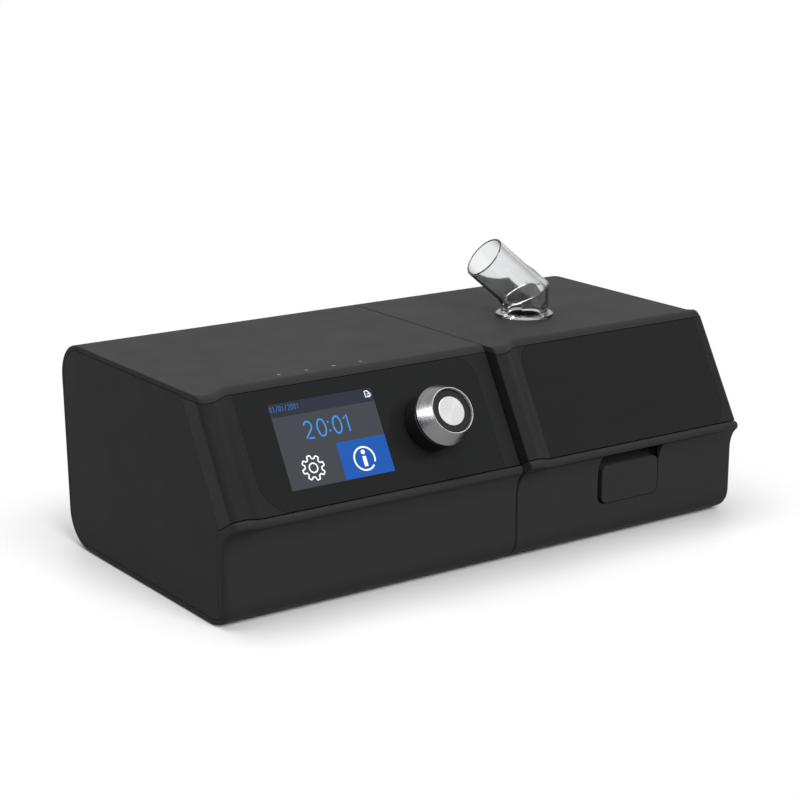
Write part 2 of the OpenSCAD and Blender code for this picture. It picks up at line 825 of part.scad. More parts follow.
// Impeller with its shaft
module impeller() {
    z0 = blower_z + 5;
    color("#d8d8d8") translate([blower_c.x, blower_c.y, 0]) {
        translate([0, 0, blower_z - motor_h + 1.4]) cylinder(r = shaft_r, h = motor_h + 12);
        translate([0, 0, z0]) cylinder(r = blower_r - 12, h = 1.6);
        translate([0, 0, z0]) cylinder(r = 6, h = 9);
        for (i = [0:blade_count - 1]) rotate([0, 0, 360 * i / blade_count])
            translate([5, -0.7, z0]) cube([blower_r - 18, 1.4, 11]);
    }
}

// Rubber mounts under the blower
module blower_mounts() {
    color(rubber) for (p = mount_at)
        translate([p.x, p.y, blower_z - mount_h]) tube(mount_r, 2, mount_h);
}

// Intake box behind the filter opening
module intake_box() {
    d = 18;
    color(dark) on_rear(intake_x, intake_z) difference() {
        translate([-intake_w / 2 - 3, -frame_t - d, -intake_h / 2 - 3])
            cube([intake_w + 6, d, intake_h + 6]);
        translate([-intake_w / 2 - 1, -frame_t - d + 2, -intake_h / 2 - 1])
            cube([intake_w + 2, d, intake_h + 2]);
        translate([8, 0, 6]) rotate([90, 0, 0]) cylinder(r = 9, h = 60);
    }
}

// Foam filter in the intake box
module air_filter() {
    color("#9aa0a6") on_rear(intake_x, intake_z) translate([0, -frame_t - 6, 0])
        cube([intake_w + 1.6, 7, intake_h + 1.6], center = true);
}

// Louvred filter cover, hinged at its lower edge
module filter_cover() {
    w = intake_w - 0.8;
    h = intake_h - 3;
    color(black) on_rear(intake_x, intake_z) difference() {
        union() {
            translate([-w / 2, -1.8, flap_z]) cube([w, 1.8, h]);
            translate([-w / 2, -hinge_depth, flap_z]) rotate([0, 90, 0]) cylinder(r = 2, h = w);
            translate([-w / 2 - 2.8, -hinge_depth, flap_z]) rotate([0, 90, 0])
                cylinder(r = 1.2, h = w + 5.6);
        }
        for (i = [0:5]) translate([-w / 2 + 4, -3, flap_z + 5 + 4 * i]) cube([w - 8, 6, 1.6]);
    }
}

// Straight duct from the blower to the port wall
module outlet_duct() {
    x0 = blower_c.x + blower_r + 6 + 0.3;
    color(dark) translate([x0, port_y, port_z]) rotate([0, 90, 0])
        tube(port_r + duct_t, port_r, x_main - 0.2 - x0);
}

// Soft seal between port and tub
module port_seal() {
    x0 = x_main + 0.1;
    color(rubber) translate([x0, port_y, port_z]) rotate([0, 90, 0]) {
        tube(port_r + duct_t, port_r, tub_x0 - x0 - 0.2);
        translate([0, 0, x_hum + wall - x0]) tube(port_r + 4, port_r, 2);
    }
}

// Contact block between the two modules
module dock_contacts() {
    color(metal) {
        block([x_main - 8, -12, contact_z - 5], [x_main, 12, contact_z + 5]);
        for (i = [0:4]) translate([x_main - 1, -8 + 4 * i, contact_z]) rotate([0, 90, 0])
            cylinder(r = 0.8, h = 1 + module_gap + wall);
    }
}

// Steel dowels that join the two modules
module dock_pins() {
    color(metal) for (y = dock_y) translate([x_main - wall - 3, y, dock_z]) rotate([0, 90, 0])
        cylinder(r = dock_r, h = 2 * wall + module_gap + 6);
}

// Screws through the posts from below
module case_screws() {
    color(metal) for (x = post_x, y = post_y) translate([x, y, z_bot + 0.4]) difference() {
        union() {
            cylinder(r = 2.9, h = 2.2);
            cylinder(r = screw_r, h = z_split - z_bot + 9);
        }
        translate([0, 0, -1]) cylinder(r = 1.3, h = 2.2, $fn = 6);
    }
}

// Feet of the main module
module main_feet() {
    color(rubber) for (x = [x_left + 14, x_main - 14], y = [front_y + 20, y_back - 30])
        translate([x, y, 0]) cylinder(r = 5, h = z_bot);
}

// Places of the humidifier's parts
y_h = y_back - 5.2;
z_h = rear_c.y;
lid_z = z_top - 11;
lid_n = -10;
lip_cut = seam_z - 2 * bead_r * sin(slant) - (bead_r - lip_proud) * cos(slant) - 0.2;
barrel_r = 5;
lug_w = 6;
lug_x = [x_hum + 16, x_right - 16];
pin_r = 1.5;
elbow_at = [x_hum + elbow_x, y_back - elbow_y];
plate_z = z_bot + 9;
plate_h = 3;
tub_z = plate_z + plate_h + 0.2;
tub_x0 = x_hum + 8;
tub_x1 = x_right - 8;
tub_y1 = y_back - 14.5;
tub_y0 = tub_y1 - tub_len;
btn_x0 = x_hum + button_x - button_w / 2;
btn_x1 = btn_x0 + button_w;
btn_z0 = z_bot + button_z;
btn_z1 = btn_z0 + button_h;
button_gap = 0.2;
stem_z = btn_z1 - 4;
recess_y = front_y + recess_d;

// Joint between lid and base in Y and Z, from the rear to the lip, moved g towards the lid
function lid_path(g) = [
    [case_d, z_h],
    [y_h - barrel_r - 1 + g, z_h],
    [y_h - barrel_r - 1 + g, lid_z + g],
    [slant_y(lid_z + g, lid_n + g), lid_z + g],
    [slant_y(lip_cut + g, lid_n + g), lip_cut + g],
    [-case_d, lip_cut + g]];

// Space of the lid above the joint
module lid_2d() {
    polygon(concat(lid_path(0), [[-case_d, 2 * case_h], [case_d, 2 * case_h]]));
}

// Space of the base below the joint
module base_2d() {
    polygon(concat(lid_path(seam_gap), [[-case_d, -case_h], [case_d, -case_h]]));
}

// Tub bay with its walls, rails, hinge lugs and button recess
module hum_base() {
    color(black) difference() {
        union() {
            difference() {
                case_solid(x_hum, x_right, 0.8, right_round, right_top_round);
                along_x(x_hum + wall, x_right - wall) hollow_2d(0);
                along_x(x_hum - 1, x_right + 1) lid_2d();
                block([x_hum - 1, y_h - barrel_r - 1, z_h - barrel_r - 0.7],
                    [x_right + 1, case_d, case_h]);
            }
            difference() {
                block([btn_x0 - finger_side - 1.6, front_y + 1, btn_z0 - 2],
                    [btn_x1 + 2, recess_y + 1.6, lip_cut]);
                along_x(x_hum, x_right) lid_2d();
            }
            for (x = [tub_x0 + 2, tub_x1 - 6])
                block([x, tub_y0 + 6, z_bot + 1], [x + 4, tub_y1 - 8, tub_z]);
            for (x = lug_x) translate([x - lug_w / 2, y_h, z_h]) {
                rotate([0, 90, 0]) cylinder(r = barrel_r - 0.8, h = lug_w);
                translate([0, -barrel_r + 0.8, -barrel_r - 9])
                    cube([lug_w, 2 * barrel_r - 1.6, barrel_r + 9]);
            }
        }
        block([btn_x0 - finger_side, front_y - 20, btn_z0 - button_gap],
            [btn_x1 + button_gap, recess_y, z_top]);
        translate([(btn_x0 + btn_x1) / 2, recess_y - 1, stem_z]) rotate([-90, 0, 0])
            cylinder(r = 2.5 + seat, h = 4);
        for (x = lug_x) translate([x - lug_w, y_h, z_h]) rotate([0, 90, 0])
            cylinder(r = pin_r + running, h = 2 * lug_w);
        translate([x_hum - 1, port_y, port_z]) rotate([0, 90, 0])
            cylinder(r = port_r + duct_t + fit, h = wall + 2);
        for (y = dock_y) translate([x_hum - 1, y, dock_z]) rotate([0, 90, 0])
            cylinder(r = dock_r + fit, h = wall + 2);
        block([x_hum - 1, -10, contact_z - 2], [x_hum + wall + 1, 10, contact_z + 2]);
    }
}

// Frame of the lid: top, brow, sides, lip and hinge barrel
module lid_frame() {
    color(black) difference() {
        union() {
            difference() {
                case_solid(x_hum, x_right, 0.8, right_round, right_top_round);
                along_x(x_hum - 1, x_right + 1) base_2d();
                along_x(x_hum + wall, x_right - wall) hollow_2d(0);
                along_x(x_hum - 1, x_right + 1) fascia_space_2d(fascia_t);
            }
            translate([x_hum, y_h, z_h]) rotate([0, 90, 0]) cylinder(r = barrel_r, h = hum_w);
        }
        for (x = lug_x) translate([x, y_h, z_h]) {
            translate([-lug_w / 2 - 0.4, 0, 0]) {
                rotate([0, 90, 0]) cylinder(r = barrel_r - 0.3, h = lug_w + 0.8);
                block([0, 0, -8], [lug_w + 0.8, 10, barrel_r - 0.3]);
                block([0, -barrel_r + 0.3, -8], [lug_w + 0.8, 10, 0]);
            }
            translate([-11.2, 0, 0]) rotate([0, 90, 0]) cylinder(r = pin_r, h = 22.4);
        }
        translate([elbow_at.x, elbow_at.y, z_under - 1]) cylinder(r = spigot_r + fit, h = top_t + 2);
    }
}

spigot_r = spigot_bore + 1.25;

// Slanted fascia of the lid
module lid_fascia() {
    color(black) difference() {
        fascia_body(x_hum, x_right, 0.8, right_round, fascia_t);
        on_slant() translate([0, 0, -panel_t]) linear_extrude(cheek + 10) gloss_2d(-fit);
    }
}

// Glossy panel outline of the lid, drawn in by g
module gloss_2d(g) {
    panel_2d(x_hum + gloss_left + g, x_right - gloss_right - g, -run_out + g, s_top + run_out - g,
        0, gloss_foot_r, 0, gloss_top_r);
}

// Glossy panel of the lid
module lid_panel() {
    color("#141519") difference() {
        on_slant() translate([0, 0, -panel_t]) linear_extrude(panel_t) intersection() {
            gloss_2d(0);
            translate([x_hum, seam_gap]) square([hum_w, s_top - seam_gap]);
        }
        translate([x_hum, -case_d, z_under - seam_gap]) cube([hum_w, 2 * case_d, case_h]);
    }
}

// Steel hinge pins
module hinge_pins() {
    color(metal) for (x = lug_x) translate([x - 11, y_h, z_h]) rotate([0, 90, 0])
        cylinder(r = pin_r, h = 22);
}

socket_h = 7;

// Socket under the lid that holds the elbow
module elbow_socket() {
    color(dark) translate([elbow_at.x, elbow_at.y, z_under - socket_h])
        tube(spigot_r + 3, spigot_r + fit, socket_h);
}

// Soft seal between the socket and the tub's outlet
module outlet_seal() {
    color(rubber) translate([elbow_at.x, elbow_at.y, z_under - socket_h - 2])
        tube(spigot_r + 3, spigot_r + 0.4, 2);
}

// Block above the plane that halves the bend
module bend_half() {
    w = 3 * elbow_len;
    translate([-w / 2, -w / 2, 0]) cube(w);
}

// Straight and slanted tube of the elbow, joined on the plane that halves the bend
module bend(r, r_end, low, end_from, end_to) {
    difference() {
        translate([0, 0, -low]) cylinder(r = r, h = low + 2 * r);
        rotate([0, elbow_tilt / 2, 0]) bend_half();
    }
    intersection() {
        rotate([0, elbow_tilt, 0]) {
            translate([0, 0, -r]) cylinder(r = r, h = end_from + r);
            cylinder(r = r_end, h = end_to);
        }
        rotate([0, elbow_tilt / 2, 0]) bend_half();
    }
}

// Clear swivelling outlet elbow with its spigot
module outlet_elbow() {
    color(clear) translate([elbow_at.x, elbow_at.y, z_top]) difference() {
        union() {
            translate([0, 0, slip]) cylinder(r = flange_r, h = 1.2);
            translate([0, 0, bend_h]) rotate([0, 0, elbow_turn])
                bend(elbow_r, outlet_r, bend_h - slip, elbow_len - outlet_len, elbow_len);
            translate([0, 0, -top_t - socket_h]) cylinder(r = spigot_r, h = top_t + socket_h + 1);
        }
        translate([0, 0, bend_h]) rotate([0, 0, elbow_turn])
            bend(elbow_bore, elbow_bore, bend_h - 1, elbow_len, elbow_len + 1);
        translate([0, 0, -20]) cylinder(r = spigot_bore, h = 22);
    }
}

// Outline of the tub seen from above, drawn in by g
module tub_2d(g) {
    r = 10 - g;
    for (x = [tub_x0 + 10, tub_x1 - 10], y = [tub_y0 + 10, tub_y1 - 10])
        translate([x, y]) circle(r = r);
    translate([tub_x0 + g, tub_y0 + 10]) square([tub_x1 - tub_x0 - 2 * g, tub_len - 20]);
    translate([tub_x0 + 10, tub_y0 + g]) square([tub_x1 - tub_x0 - 20, tub_len - 2 * g]);
}

// Clear water tub with its inlet
module water_tub() {
    color(clear) difference() {
        translate([0, 0, tub_z]) linear_extrude(tub_high) tub_2d(0);
        translate([0, 0, tub_z + tub_wall]) linear_extrude(tub_high) tub_2d(tub_wall);
        translate([tub_x0 - 1, port_y, port_z]) rotate([0, 90, 0]) cylinder(r = port_r, h = 6);
    }
}

// Lid of the tub with the outlet collar
module tub_lid() {
    z0 = tub_z + tub_high + 1.5;
    color(clear) difference() {
        union() {
            translate([0, 0, z0]) linear_extrude(6) tub_2d(0.5);
            translate([elbow_at.x, elbow_at.y, z0]) cylinder(r = spigot_r + 2, h = collar_top - z0);
        }
        translate([0, 0, z0 - 1]) linear_extrude(5) tub_2d(3);
        translate([elbow_at.x, elbow_at.y, z0 - 1]) cylinder(r = spigot_bore, h = 40);
    }
}

collar_top = z_under - socket_h - 2 - 0.4;

// Seal between tub and tub lid
module tub_seal() {
    color(rubber) translate([0, 0, tub_z + tub_high]) linear_extrude(1.5) difference() {
        tub_2d(0.3);
        tub_2d(tub_wall);
    }
}

// Heater parts are centred under the tub
heat_c = [(tub_x0 + tub_x1) / 2, (tub_y0 + tub_y1) / 2];

// Aluminium heater plate
module heater_plate() {
    color(metal) translate([heat_c.x - plate_w / 2, heat_c.y - plate_len / 2, plate_z])
        cube([plate_w, plate_len, plate_h]);
}

// Heating element under the plate
module heater_element() {
    color("#8a5a2b") translate([heat_c.x, heat_c.y, plate_z - 1.4]) difference() {
        cylinder(r = plate_len / 2 - 6, h = 1.4);
        translate([0, 0, -1]) cylinder(r = plate_len / 2 - 18, h = 4);
    }
}

// Frame that carries the heater plate
module heater_frame() {
    color(dark) translate([heat_c.x, heat_c.y, 0]) difference() {
        translate([-plate_w / 2 - 5, -plate_len / 2 - 5, z_in])
            cube([plate_w + 10, plate_len + 10, plate_z + plate_h - 1 - z_in]);
        translate([-plate_w / 2 - 0.3, -plate_len / 2 - 0.3, plate_z])
            cube([plate_w + 0.6, plate_len + 0.6, 10]);
        translate([-plate_w / 2 + 3, -plate_len / 2 + 3, 0]) cube([plate_w - 6, plate_len - 6, 20]);
        for (x = [-1, 1], y = [-1, 1])
            translate([x * (plate_w / 2 + 2.4), y * (plate_len / 2 + 2.4), z_in - 1])
                cylinder(r = 1.2, h = 20);
    }
}

// Screws of the heater frame
module heater_screws() {
    color(metal) for (x = [-1, 1], y = [-1, 1])
        translate([heat_c.x + x * (plate_w / 2 + 2.4), heat_c.y + y * (plate_len / 2 + 2.4), 0]) {
            translate([0, 0, z_in + 0.1]) cylinder(r = 1.2, h = plate_z + plate_h - 1.1 - z_in);
            translate([0, 0, plate_z + plate_h - 1]) cylinder(r = 2.2, h = 0.9);
        }
}

// Release button with its stem
module release_button() {
    r = 3.5;
    color(black) {
        translate([0, front_y + 3.3, 0]) rotate([90, 0, 0]) linear_extrude(3.3) {
            for (x = [btn_x0 + r, btn_x1 - r], z = [btn_z0 + r, btn_z1 - r])
                translate([x, z]) circle(r = r);
            translate([btn_x0, btn_z0 + r]) square([button_w, button_h - 2 * r]);
            translate([btn_x0 + r, btn_z0]) square([button_w - 2 * r, button_h]);
        }
        translate([(btn_x0 + btn_x1) / 2, front_y + 3, stem_z]) rotate([-90, 0, 0])
            cylinder(r = 2.5, h = recess_d + 1.6 + 0.4 - 3);
    }
}

// Board behind the docking opening
module dock_board() {
    color(board_green) block([x_hum + wall + 0.3, -14, contact_z - 8],
        [x_hum + wall + 1.9, 14, contact_z + 8]);
}

// Feet of the humidifier
module hum_feet() {
    color(rubber) for (x = [x_hum + 14, x_right - 14], y = [front_y + 20, y_back - 30])
        translate([x, y, 0]) cylinder(r = 5, h = z_bot);
}

main_top_cover();
main_base();
end_panel();
port_wall();
main_fascia();
control_panel();
screen_module();
display_board();
knob_collar();
knob_post();
encoder_ring();
knob_shell();
knob_core();
knob_cap();
status_lights();
main_board();
power_inlet();
card_slot();
memory_card();
blower_base();
blower_cover();
blower_motor();
impeller();
blower_mounts();
intake_box();
air_filter();
filter_cover();
outlet_duct();
port_seal();
dock_contacts();
dock_pins();
case_screws();
main_feet();
hum_base();
lid_frame();
lid_fascia();
lid_panel();
hinge_pins();
elbow_socket();
outlet_seal();
outlet_elbow();
water_tub();
tub_lid();
tub_seal();
heater_plate();
heater_element();
heater_frame();
heater_screws();
release_button();
dock_board();
hum_feet();
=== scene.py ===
"""Bilevel breathing machine with a docked humidifier: smooth shells, controls and finishes."""
import math

import bmesh
import bpy
import numpy as np
from mathutils import Matrix, Vector


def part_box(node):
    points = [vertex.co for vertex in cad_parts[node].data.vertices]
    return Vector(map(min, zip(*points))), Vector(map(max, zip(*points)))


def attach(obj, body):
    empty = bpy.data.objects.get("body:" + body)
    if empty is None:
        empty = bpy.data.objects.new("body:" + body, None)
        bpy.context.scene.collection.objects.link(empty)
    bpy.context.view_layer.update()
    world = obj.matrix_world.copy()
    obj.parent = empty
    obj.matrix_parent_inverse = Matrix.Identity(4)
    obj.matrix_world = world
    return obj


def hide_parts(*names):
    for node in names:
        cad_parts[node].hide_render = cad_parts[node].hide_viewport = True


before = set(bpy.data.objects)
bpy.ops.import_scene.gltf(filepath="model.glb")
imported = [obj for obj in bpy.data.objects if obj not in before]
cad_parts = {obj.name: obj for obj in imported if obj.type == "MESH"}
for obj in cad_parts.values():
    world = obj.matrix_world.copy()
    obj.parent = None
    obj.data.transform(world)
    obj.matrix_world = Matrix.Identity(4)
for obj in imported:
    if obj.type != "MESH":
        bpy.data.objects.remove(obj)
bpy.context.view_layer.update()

# All shapes are worked out in millimetres in the frame's axes and turned into metres in one place
MM = 0.001


def box_mm(node):
    """Lowest and highest corner of a CAD node in millimetres."""
    return [np.array(corner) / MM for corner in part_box(node)]


def cos_sin(degrees):
    return math.cos(math.radians(degrees)), math.sin(math.radians(degrees))


# Case sizes, from the frame where it shows them
main_low, main_high = box_mm("main_base")
hum_low, hum_high = box_mm("hum_base")
top_high = box_mm("main_top_cover")[1]
X_LEFT, X_MAIN = main_low[0], main_high[0]
X_HUM, X_RIGHT = hum_low[0], hum_high[0]
Z_BOT, Z_TOP = main_low[2], top_high[2]
Y_BACK = top_high[1]
CASE_D = 2 * Y_BACK
CASE_H = Z_TOP - Z_BOT
WALL = 2.4
TOP_T = 2.7
Z_UNDER = Z_TOP - TOP_T
Z_IN = Z_BOT + WALL
Z_SPLIT = main_high[2]
SEAM_GAP = 0.3
FIT = 0.1
HAIR = 0.05

# Rear and front roundings
REAR_LEAN = 2.75
TOP_ROUND = 16.6
BOTTOM_ROUND = 17.0
FRONT_ROUND = 11.0
END_ROUND = 0.5

# Left end panel: how far its opening lies outside the hollow, and where it stops behind the front
END_T = 1.5
END_RIM = 0.4
END_FRONT = 6.0

# Slanted front
SLANT = 60.0
LIP_Z = 47.1
LIP_REACH = 2.6
LIP_PROUD = 1.0
BEAD_R = 2.0
COVE_Z = 32.2
COVE_SWEEP = 53.0
CHEEK = 6.1
CHEEK_FLAT = 4.5
CHEEK_RAMP = 14.0
BROW_ROUND = 4.6
LEFT_ROUND = 4.0
FACING_ROUND = 0.8
RIGHT_ROUND = 3.2
RIGHT_TOP_ROUND = 6.5
FASCIA_T = 3.2
RETURN_D = 8.0
PANEL_T = 1.4

COS, SIN = cos_sin(SLANT)
TAN = SIN / COS
DOWN = np.array([-COS, -SIN])
OUT = np.array([-SIN, COS])
SEAM = np.array([-CASE_D / 2 + BEAD_R * (1 + COS) + SIN * (LIP_PROUD - BEAD_R + CHEEK), Z_BOT + LIP_Z])
APEX_Y = SEAM[0] + (CASE_H - LIP_Z) / TAN
FRONT_Y = SEAM[0] + LIP_REACH
SLOPE_LEN = (CASE_H - LIP_Z) / SIN
S_TOP = (Z_UNDER - SEAM_GAP - SEAM[1]) / SIN
LEAN_COS, LEAN_SIN = cos_sin(REAR_LEAN)
REAR_C = np.array([Y_BACK - TOP_ROUND, Z_TOP - TOP_ROUND])
LOW_C = np.array([
    REAR_C[0] + (TOP_ROUND - BOTTOM_ROUND - (REAR_C[1] - Z_BOT - BOTTOM_ROUND) * LEAN_SIN) / LEAN_COS,
    Z_BOT + BOTTOM_ROUND])

# Controls, in X and up the slope from the lip's seam; their places keep their share of a longer slope
MEASURED_SLOPE = 57.85
SLOPE_K = SLOPE_LEN / MEASURED_SLOPE
SCREEN_W, SCREEN_H = 53.4, 38.8 * SLOPE_K
SCREEN_AT = np.array([X_LEFT + 61.3, 28.2 * SLOPE_K])
SCREEN_GAP = 1.1
KNOB_AT = np.array([X_LEFT + 112.6, 26.8 * SLOPE_K])
KNOB_HOLE_R = 9.0
COLLAR_R, COLLAR_H, COLLAR_T = 13.0, 9.6, 2.0
POST_HOLE_R, NECK_R, NECK_BORE, NECK_D = 3.3, 8.8, 7.0, 5.2
KNOB_BACK_R, KNOB_FACE_R, KNOB_CONE_H, KNOB_BORE = 14.0, 10.6, 8.0, 3.05
SKIRT_H, SKIRT_R = 1.0, KNOB_BACK_R - 0.3
RING_N = COLLAR_H + 1.3
CONE_N = RING_N + SKIRT_H
FACE_N = CONE_N + KNOB_CONE_H
FACE_SINK, RIM_W = 1.3, 0.45
CORE_R, CAP_R, CAP_H = KNOB_FACE_R - 1, 6.7, 1.9
CAP_N = RING_N + KNOB_CONE_H - 1.6

# Glossy panels: left side, right side and corner radii anticlockwise from the lower left
CONTROL_PANEL = (X_LEFT + 19.2, X_MAIN - 9.1, (17.3, 0, 12.5, 0))
LID_PANEL = (X_HUM + 17.2, X_RIGHT - 6.6, (0, 13.5, 0, 11.0))
RUN_OUT = 1.0

# Status lights behind the brow
LIGHT_X = [X_LEFT + 48.3 + 14.2 * i for i in range(4)]
LIGHT_Y = APEX_Y + 7.4
LIGHT_R, LIGHT_LEN, LIGHT_EDGE = 1.1, 6.0, 0.3

# Openings in the rear face, as X and Z of the middle and half sizes, and in the floor
FILTER_AT, FILTER_HALF = (X_LEFT + 37, Z_BOT + 40), (18, 17)
JACK_AT, JACK_R = (X_MAIN - 26, Z_BOT + 24), 6.1
CARD_AT, CARD_HALF = (X_MAIN - 62, Z_BOT + 20), (13, 2.05)
SCREW_X, SCREW_Y, SCREW_R = (X_LEFT + 10, X_MAIN - 10), (APEX_Y + 16.7, Y_BACK - 20.5), 3.3

# Humidifier: hinge, joint between base and lid, and air port
HINGE = np.array([Y_BACK - 5.2, REAR_C[1]])
BARREL_R = 5.0
LUG_X, LUG_W, LUG_R, LUG_DROP, LUG_GAP = (X_HUM + 16, X_RIGHT - 16), 6.0, BARREL_R - 0.8, 14.0, 0.4
NOTCH_R, NOTCH_D = BARREL_R - 0.3, 8.0
PIN_R, PIN_HALF = 1.5, 11.2
LID_BACK = HINGE[0] - BARREL_R - 1
LID_Z = Z_TOP - 11
LID_N = -10.0
LIP_CUT = SEAM[1] - 2 * BEAD_R * SIN - (BEAD_R - LIP_PROUD) * COS - 0.2
PORT_AT, PORT_R = (Y_BACK - 36, Z_BOT + CASE_H / 2 + 0.15), 10.1

# Release button in its recess, in X and Z
BUTTON_LOW, BUTTON_HIGH = [corner[[0, 2]] for corner in box_mm("release_button")]
BUTTON_R, BUTTON_T, BUTTON_EDGE = 3.5, 3.3, 0.55
STEM_X, STEM_Z, STEM_R = (BUTTON_LOW[0] + BUTTON_HIGH[0]) / 2, BUTTON_HIGH[1] - 4, 2.5
RECESS_Y = FRONT_Y + 6.5
RECESS_T = 1.6
FINGER_SIDE = 2.9
BUTTON_GAP = 0.08

# Outlet elbow
ELBOW_AT = np.array([X_HUM + 56, Y_BACK - 79.9])
ELBOW_TURN, ELBOW_TILT = 168.0, 49.0
ELBOW_R, OUTLET_R = 11.6, 11.0
ELBOW_LEN, OUTLET_LEN, BEND_H = 29.8, 20.5, 10.8
FLANGE_R, FLANGE_T, SPIGOT_BORE = 14.1, 1.2, 8.25
MOUTH_BORE, MITRE_BORE, UPRIGHT_BORE = 9.95, 9.8, 8.8
SPIGOT_R = SPIGOT_BORE + 1.25
SOCKET_H = 7.0


# Shapes from whole arrays

def circle(steps):
    """Points (cos, sin) of angles spread evenly over a full turn."""
    angle = np.radians(np.linspace(0, 360, steps, endpoint=False))
    return np.stack([np.cos(angle), np.sin(angle)], -1)


def arc(centre, radius, start, end, steps):
    """Centre plus radius times (cos, sin) of angles spread evenly from start to end, for each centre."""
    angle = np.radians(np.linspace(start, end, steps + 1))
    ring = radius * np.stack([np.cos(angle), np.sin(angle)], -1)
    return np.asarray(centre, float)[..., None, :] + ring


def rectangle(low, high):
    """Corners of a rectangle, anticlockwise from the lowest."""
    return np.array([low, [high[0], low[1]], high, [low[0], high[1]]], float)


def rounded_outline(low, high, radii, steps=20):
    """Rectangle with its own quarter circle at each corner, anticlockwise from the lower left."""
    corners = []
    places = zip(rectangle(low, high), rectangle([1, 1], [-1, -1]), radii)
    for turn, (point, inward, radius) in enumerate(places, 2):
        rounding = arc(point + radius * inward, radius, 90 * turn, 90 * turn + 90, steps)
        corners.append(rounding if radius else [point])
    return np.concatenate(corners)


def corner(distance, radius):
    """Width lost at a distance from a rounded end: radius less the height of its quarter circle."""
    if radius == 0:
        return np.zeros_like(distance)
    left = radius - np.clip(distance, 0, radius)
    return radius - np.sqrt(radius ** 2 - left ** 2)


def cheek_ramp(distance):
    """Half a cosine wave that falls from one to zero behind the flat of the raised end."""
    u = np.clip((distance - CHEEK_FLAT) / CHEEK_RAMP, 0, 1)
    return (1 + np.cos(np.pi * u)) / 2


def stations(x0, x1, left, right):
    """X places close together at both rounded ends and on the raised end, wide apart on the flat."""
    turn = 1 - np.cos(np.radians(np.linspace(0, 90, 12)))
    return np.unique(np.round(np.concatenate([
        x0 + END_ROUND * turn, x0 + left * turn,
        x0 + CHEEK_FLAT + CHEEK_RAMP * np.linspace(0, 1, 28),
        x1 - right * turn, x1 - END_ROUND * turn]), 5))


def rise_at(x, x0, x1, left, right):
    """Height of the slanted front above its plane: the raised end less both rounded ends."""
    return CHEEK * cheek_ramp(x - x0) - corner(x - x0, left) - corner(x1 - x, right)


def case_outlines(rise, drawn_in, top_drop, brow_drop):
    """Side outlines in Y and Z, one per station: rear arcs, top, brow, bead, cove and front arcs."""
    count = len(rise)
    rear = np.tile(arc(LOW_C, BOTTOM_ROUND, -90, -REAR_LEAN, 18), (count, 1, 1))
    top = np.tile(arc(REAR_C, TOP_ROUND, -REAR_LEAN, 90, 22), (count, 1, 1))
    top[..., 1] -= top_drop[:, None]
    brow_c = np.stack([APEX_Y - rise / SIN + BROW_ROUND * math.tan(math.radians(SLANT / 2)),
                       Z_TOP - BROW_ROUND - brow_drop], -1)
    flat = np.stack([brow_c[:, 0] + 3, Z_TOP - top_drop], -1)[:, None]
    brow = arc(brow_c, BROW_ROUND, 90, 90 + SLANT, 12)
    bead_c = SEAM + rise[:, None] * OUT + BEAD_R * DOWN + (LIP_PROUD - BEAD_R) * OUT
    bead = arc(bead_c, BEAD_R, SLANT, SLANT + 180, 20)
    foot = np.stack([FRONT_Y + drawn_in, np.full(count, Z_BOT + COVE_Z)], -1)
    reach = bead[:, -1] - foot
    a = np.radians(np.linspace(COVE_SWEEP, 0, 22)[1:])
    full = math.radians(COVE_SWEEP)
    share = np.stack([(1 - np.cos(a)) / (1 - math.cos(full)), np.sin(a) / math.sin(full)], -1)
    cove = foot[:, None] + reach[:, None] * share
    front_c = foot * [1, 0] + [FRONT_ROUND, Z_BOT + FRONT_ROUND]
    front = arc(front_c, FRONT_ROUND, 180, 270, 14)
    return np.concatenate([rear, top, flat, brow, bead, cove, front], 1)


def inset(outlines, amount):
    """Each outline moved inward along its own normals, by one amount per station."""
    along = np.roll(outlines, -1, 1) - np.roll(outlines, 1, 1)
    along /= np.linalg.norm(along, axis=-1, keepdims=True)
    inward = np.stack([-along[..., 1], along[..., 0]], -1)
    return outlines + inward * amount[:, None, None]


def make_mesh(name, points, faces):
    """Mesh in metres from points in millimetres and a list of faces."""
    mesh = bpy.data.meshes.new(name)
    mesh.from_pydata((np.asarray(points, float) * MM).tolist(), [], faces)
    mesh.update()
    return mesh


def make_piece(name, mesh):
    piece = bpy.data.objects.new(name, mesh)
    bpy.context.scene.collection.objects.link(piece)
    return piece


def loft(name, rings, caps=True, close_along=False):
    """Surface through rings of equal length: point j of ring i joins its neighbours on ring i + 1.
    Caps close the first and the last ring, and close_along joins the last to the first."""
    count, size = rings.shape[:2]
    i = np.arange(count if close_along else count - 1)[:, None]
    j = np.arange(size)[None, :]
    i2, j2 = (i + 1) % count, (j + 1) % size
    faces = np.stack([i * size + j, i2 * size + j, i2 * size + j2, i * size + j2], -1)
    faces = faces.reshape(-1, 4).tolist()
    if caps:
        faces.append(list(range(size)))
        faces.append(list(range(count * size - 1, (count - 1) * size - 1, -1)))
    return make_mesh(name, rings.reshape(-1, 3), faces)


def case_solid(x0, x1, left, right, top):
    """Outer form of a module: side outlines along X, drawn in at both ends by a small quarter round."""
    x = stations(x0, x1, left, max(right, top))
    drawn_in = corner(x - x0, left) + corner(x1 - x, right)
    rise = rise_at(x, x0, x1, left, right)
    top_drop = corner(x1 - x, top)
    brow_drop = np.minimum(np.minimum(top_drop, drawn_in), 0.7 * TOP_T)
    outlines = case_outlines(rise, drawn_in, top_drop, brow_drop)
    edge = corner(np.minimum(x - x0, x1 - x), END_ROUND)
    outlines = inset(outlines, edge)
    return loft("case", np.insert(outlines, 0, x[:, None], -1))


def humidifier_form():
    return case_solid(X_HUM, X_RIGHT, FACING_ROUND, RIGHT_ROUND, RIGHT_TOP_ROUND)


